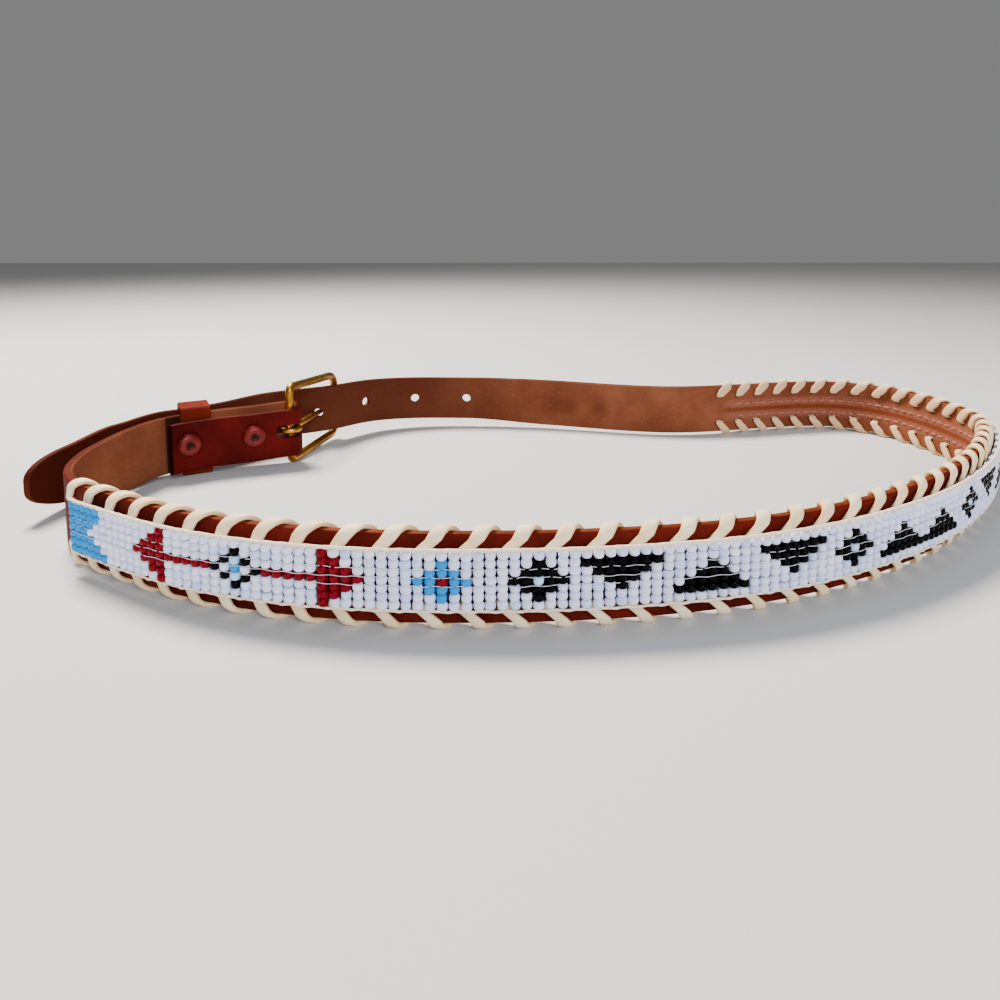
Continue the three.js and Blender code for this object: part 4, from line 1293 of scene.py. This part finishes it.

# %% [markdown]
# ## Snaps
# Each snap is a turned cap with an eye in its middle, a post through the layers and a flat back. A turned
# shape is a list of radii and depths, carried round its axis. The caps are lacquered red-brown like the
# leather, and the eye is painted dark as the shade in its hollow. The radius is kept in a map, so the
# finish can tell the eye from the dome.

# %% Turn the snaps
SNAP_DIAMETER = 9
SNAP_DOME = 1.6
SNAP_EYE = 3
SNAP_BACK = 8
SNAP_AROUND = 32
AXIS_HOLE = 0.05
EYE_EDGE = (0.0014, 0.0010)


def snap_profile(spread):
    """Radius and depth of the turned shape, from the eye's middle to the middle of the back."""
    cap, back = -spread - STRAP_THICKNESS / 2 - 2 * GAP, STRAP_THICKNESS / 2 + 2 * GAP
    eye, rim, post, disc = SNAP_EYE / 2, SNAP_DIAMETER / 2, SNAP_POST / 2, SNAP_BACK / 2
    dome = [(AXIS_HOLE, 0.30), (eye * 0.8, 0.33), (eye, 0.45), (eye * 1.02, 0.85), (eye * 1.15, 0.97)]
    dome += [(rim * 0.5, 1), (rim * 0.7, 0.94), (rim * 0.86, 0.72), (rim * 0.96, 0.4), (rim, 0.14)]
    flat = [(rim * 0.98, cap - 0.02), (post, cap), (post, back), (disc - 0.15, back), (disc, back + 0.3)]
    flat += [(disc - 0.25, back + SNAP_BACK_THICKNESS), (AXIS_HOLE, back + SNAP_BACK_THICKNESS)]
    return np.array([(radius, cap - SNAP_DOME * share) for radius, share in dome] + flat)


copper = Finish("copper_cap", Metallic=0.15, Specular_IOR_Level=0.25)
stain = copper.noise(copper.place(), 260, 3, 0.6)
in_eye = copper.map("turned")[0].rise(*EYE_EDGE)
paint = copper.blend(stain.rise(0.3, 0.75), colour("#6e1410"), colour("#480b08"))
# painted shade: the eye is darkened as the shade in its hollow.
paint = copper.blend(in_eye, paint, colour("#240504"))
copper.wear(Base_Color=paint, Roughness=0.30 + stain * 0.15 + in_eye * 0.4)
turn = np.linspace(0, 2 * math.pi, SNAP_AROUND, endpoint=False)
for i, (s, xy, way, side) in enumerate(zip(snaps, *lay(snaps)), 1):
    profile = snap_profile(fold_spread(s))
    plan = xy + side * profile[:, 1][:, None, None] + way * (profile[:, :1] * np.cos(turn))[..., None]
    shape = tube(stand(plan, snap_z(s) + profile[:, :1] * np.sin(turn)))
    snap = piece(f"copper_snap_{i}", shape, {"turned": np.repeat(profile / 1000, len(turn), 0)}, 50)
    snap.data.materials.append(copper.material)
    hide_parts(f"snap_{i}")
    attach(snap, "root")
    tell(snap)

# %% [markdown]
# ## Light and ground
# A plain pale table, a soft warm light above and behind to the left, a broad weak cool one from the
# front, and a dim even sky give the quiet shadows of a studio.

# %% Floor, lights and world
FLOOR_SIZE = 6
SKY_STRENGTH = 0.22


def add_floor():
    """A large square of pale matt paper, as stage and not as part of the belt."""
    bpy.ops.mesh.primitive_plane_add(size=FLOOR_SIZE, location=(0, 0, 0))
    floor = bpy.context.object
    floor.name = "table_top"
    paper = Finish("white_paper", Base_Color=(0.62, 0.62, 0.62, 1), Roughness=0.9, Specular_IOR_Level=0.1)
    floor.data.materials.append(paper.material)


def add_light(name, place, size, power, tint):
    """A round area light that faces the belt's middle."""
    lamp = bpy.data.lights.new(name, "AREA")
    lamp.shape, lamp.size, lamp.energy, lamp.color = "DISK", size, power, tint
    holder = bpy.data.objects.new(name, lamp)
    holder.location = place
    x, y, z = -np.array(place) / np.linalg.norm(place)
    holder.rotation_euler = (math.acos(-z), 0, math.atan2(y, x) + 1.5 * math.pi)
    bpy.context.collection.objects.link(holder)


def set_world(strength):
    """The same white light from all sides."""
    world = bpy.data.worlds.new("sky")
    world.use_nodes = True
    backdrop = world.node_tree.nodes["Background"]
    backdrop.inputs["Color"].default_value = (1, 1, 1, 1)
    backdrop.inputs["Strength"].default_value = strength
    bpy.context.scene.world = world


add_floor()
add_light("key", (-0.45, 0.35, 0.95), 0.40, 38, (1.0, 0.91, 0.80))
add_light("fill", (0.35, -1.0, 0.55), 0.7, 13, (0.88, 0.93, 1.0))
set_world(SKY_STRENGTH)
print("lights placed")
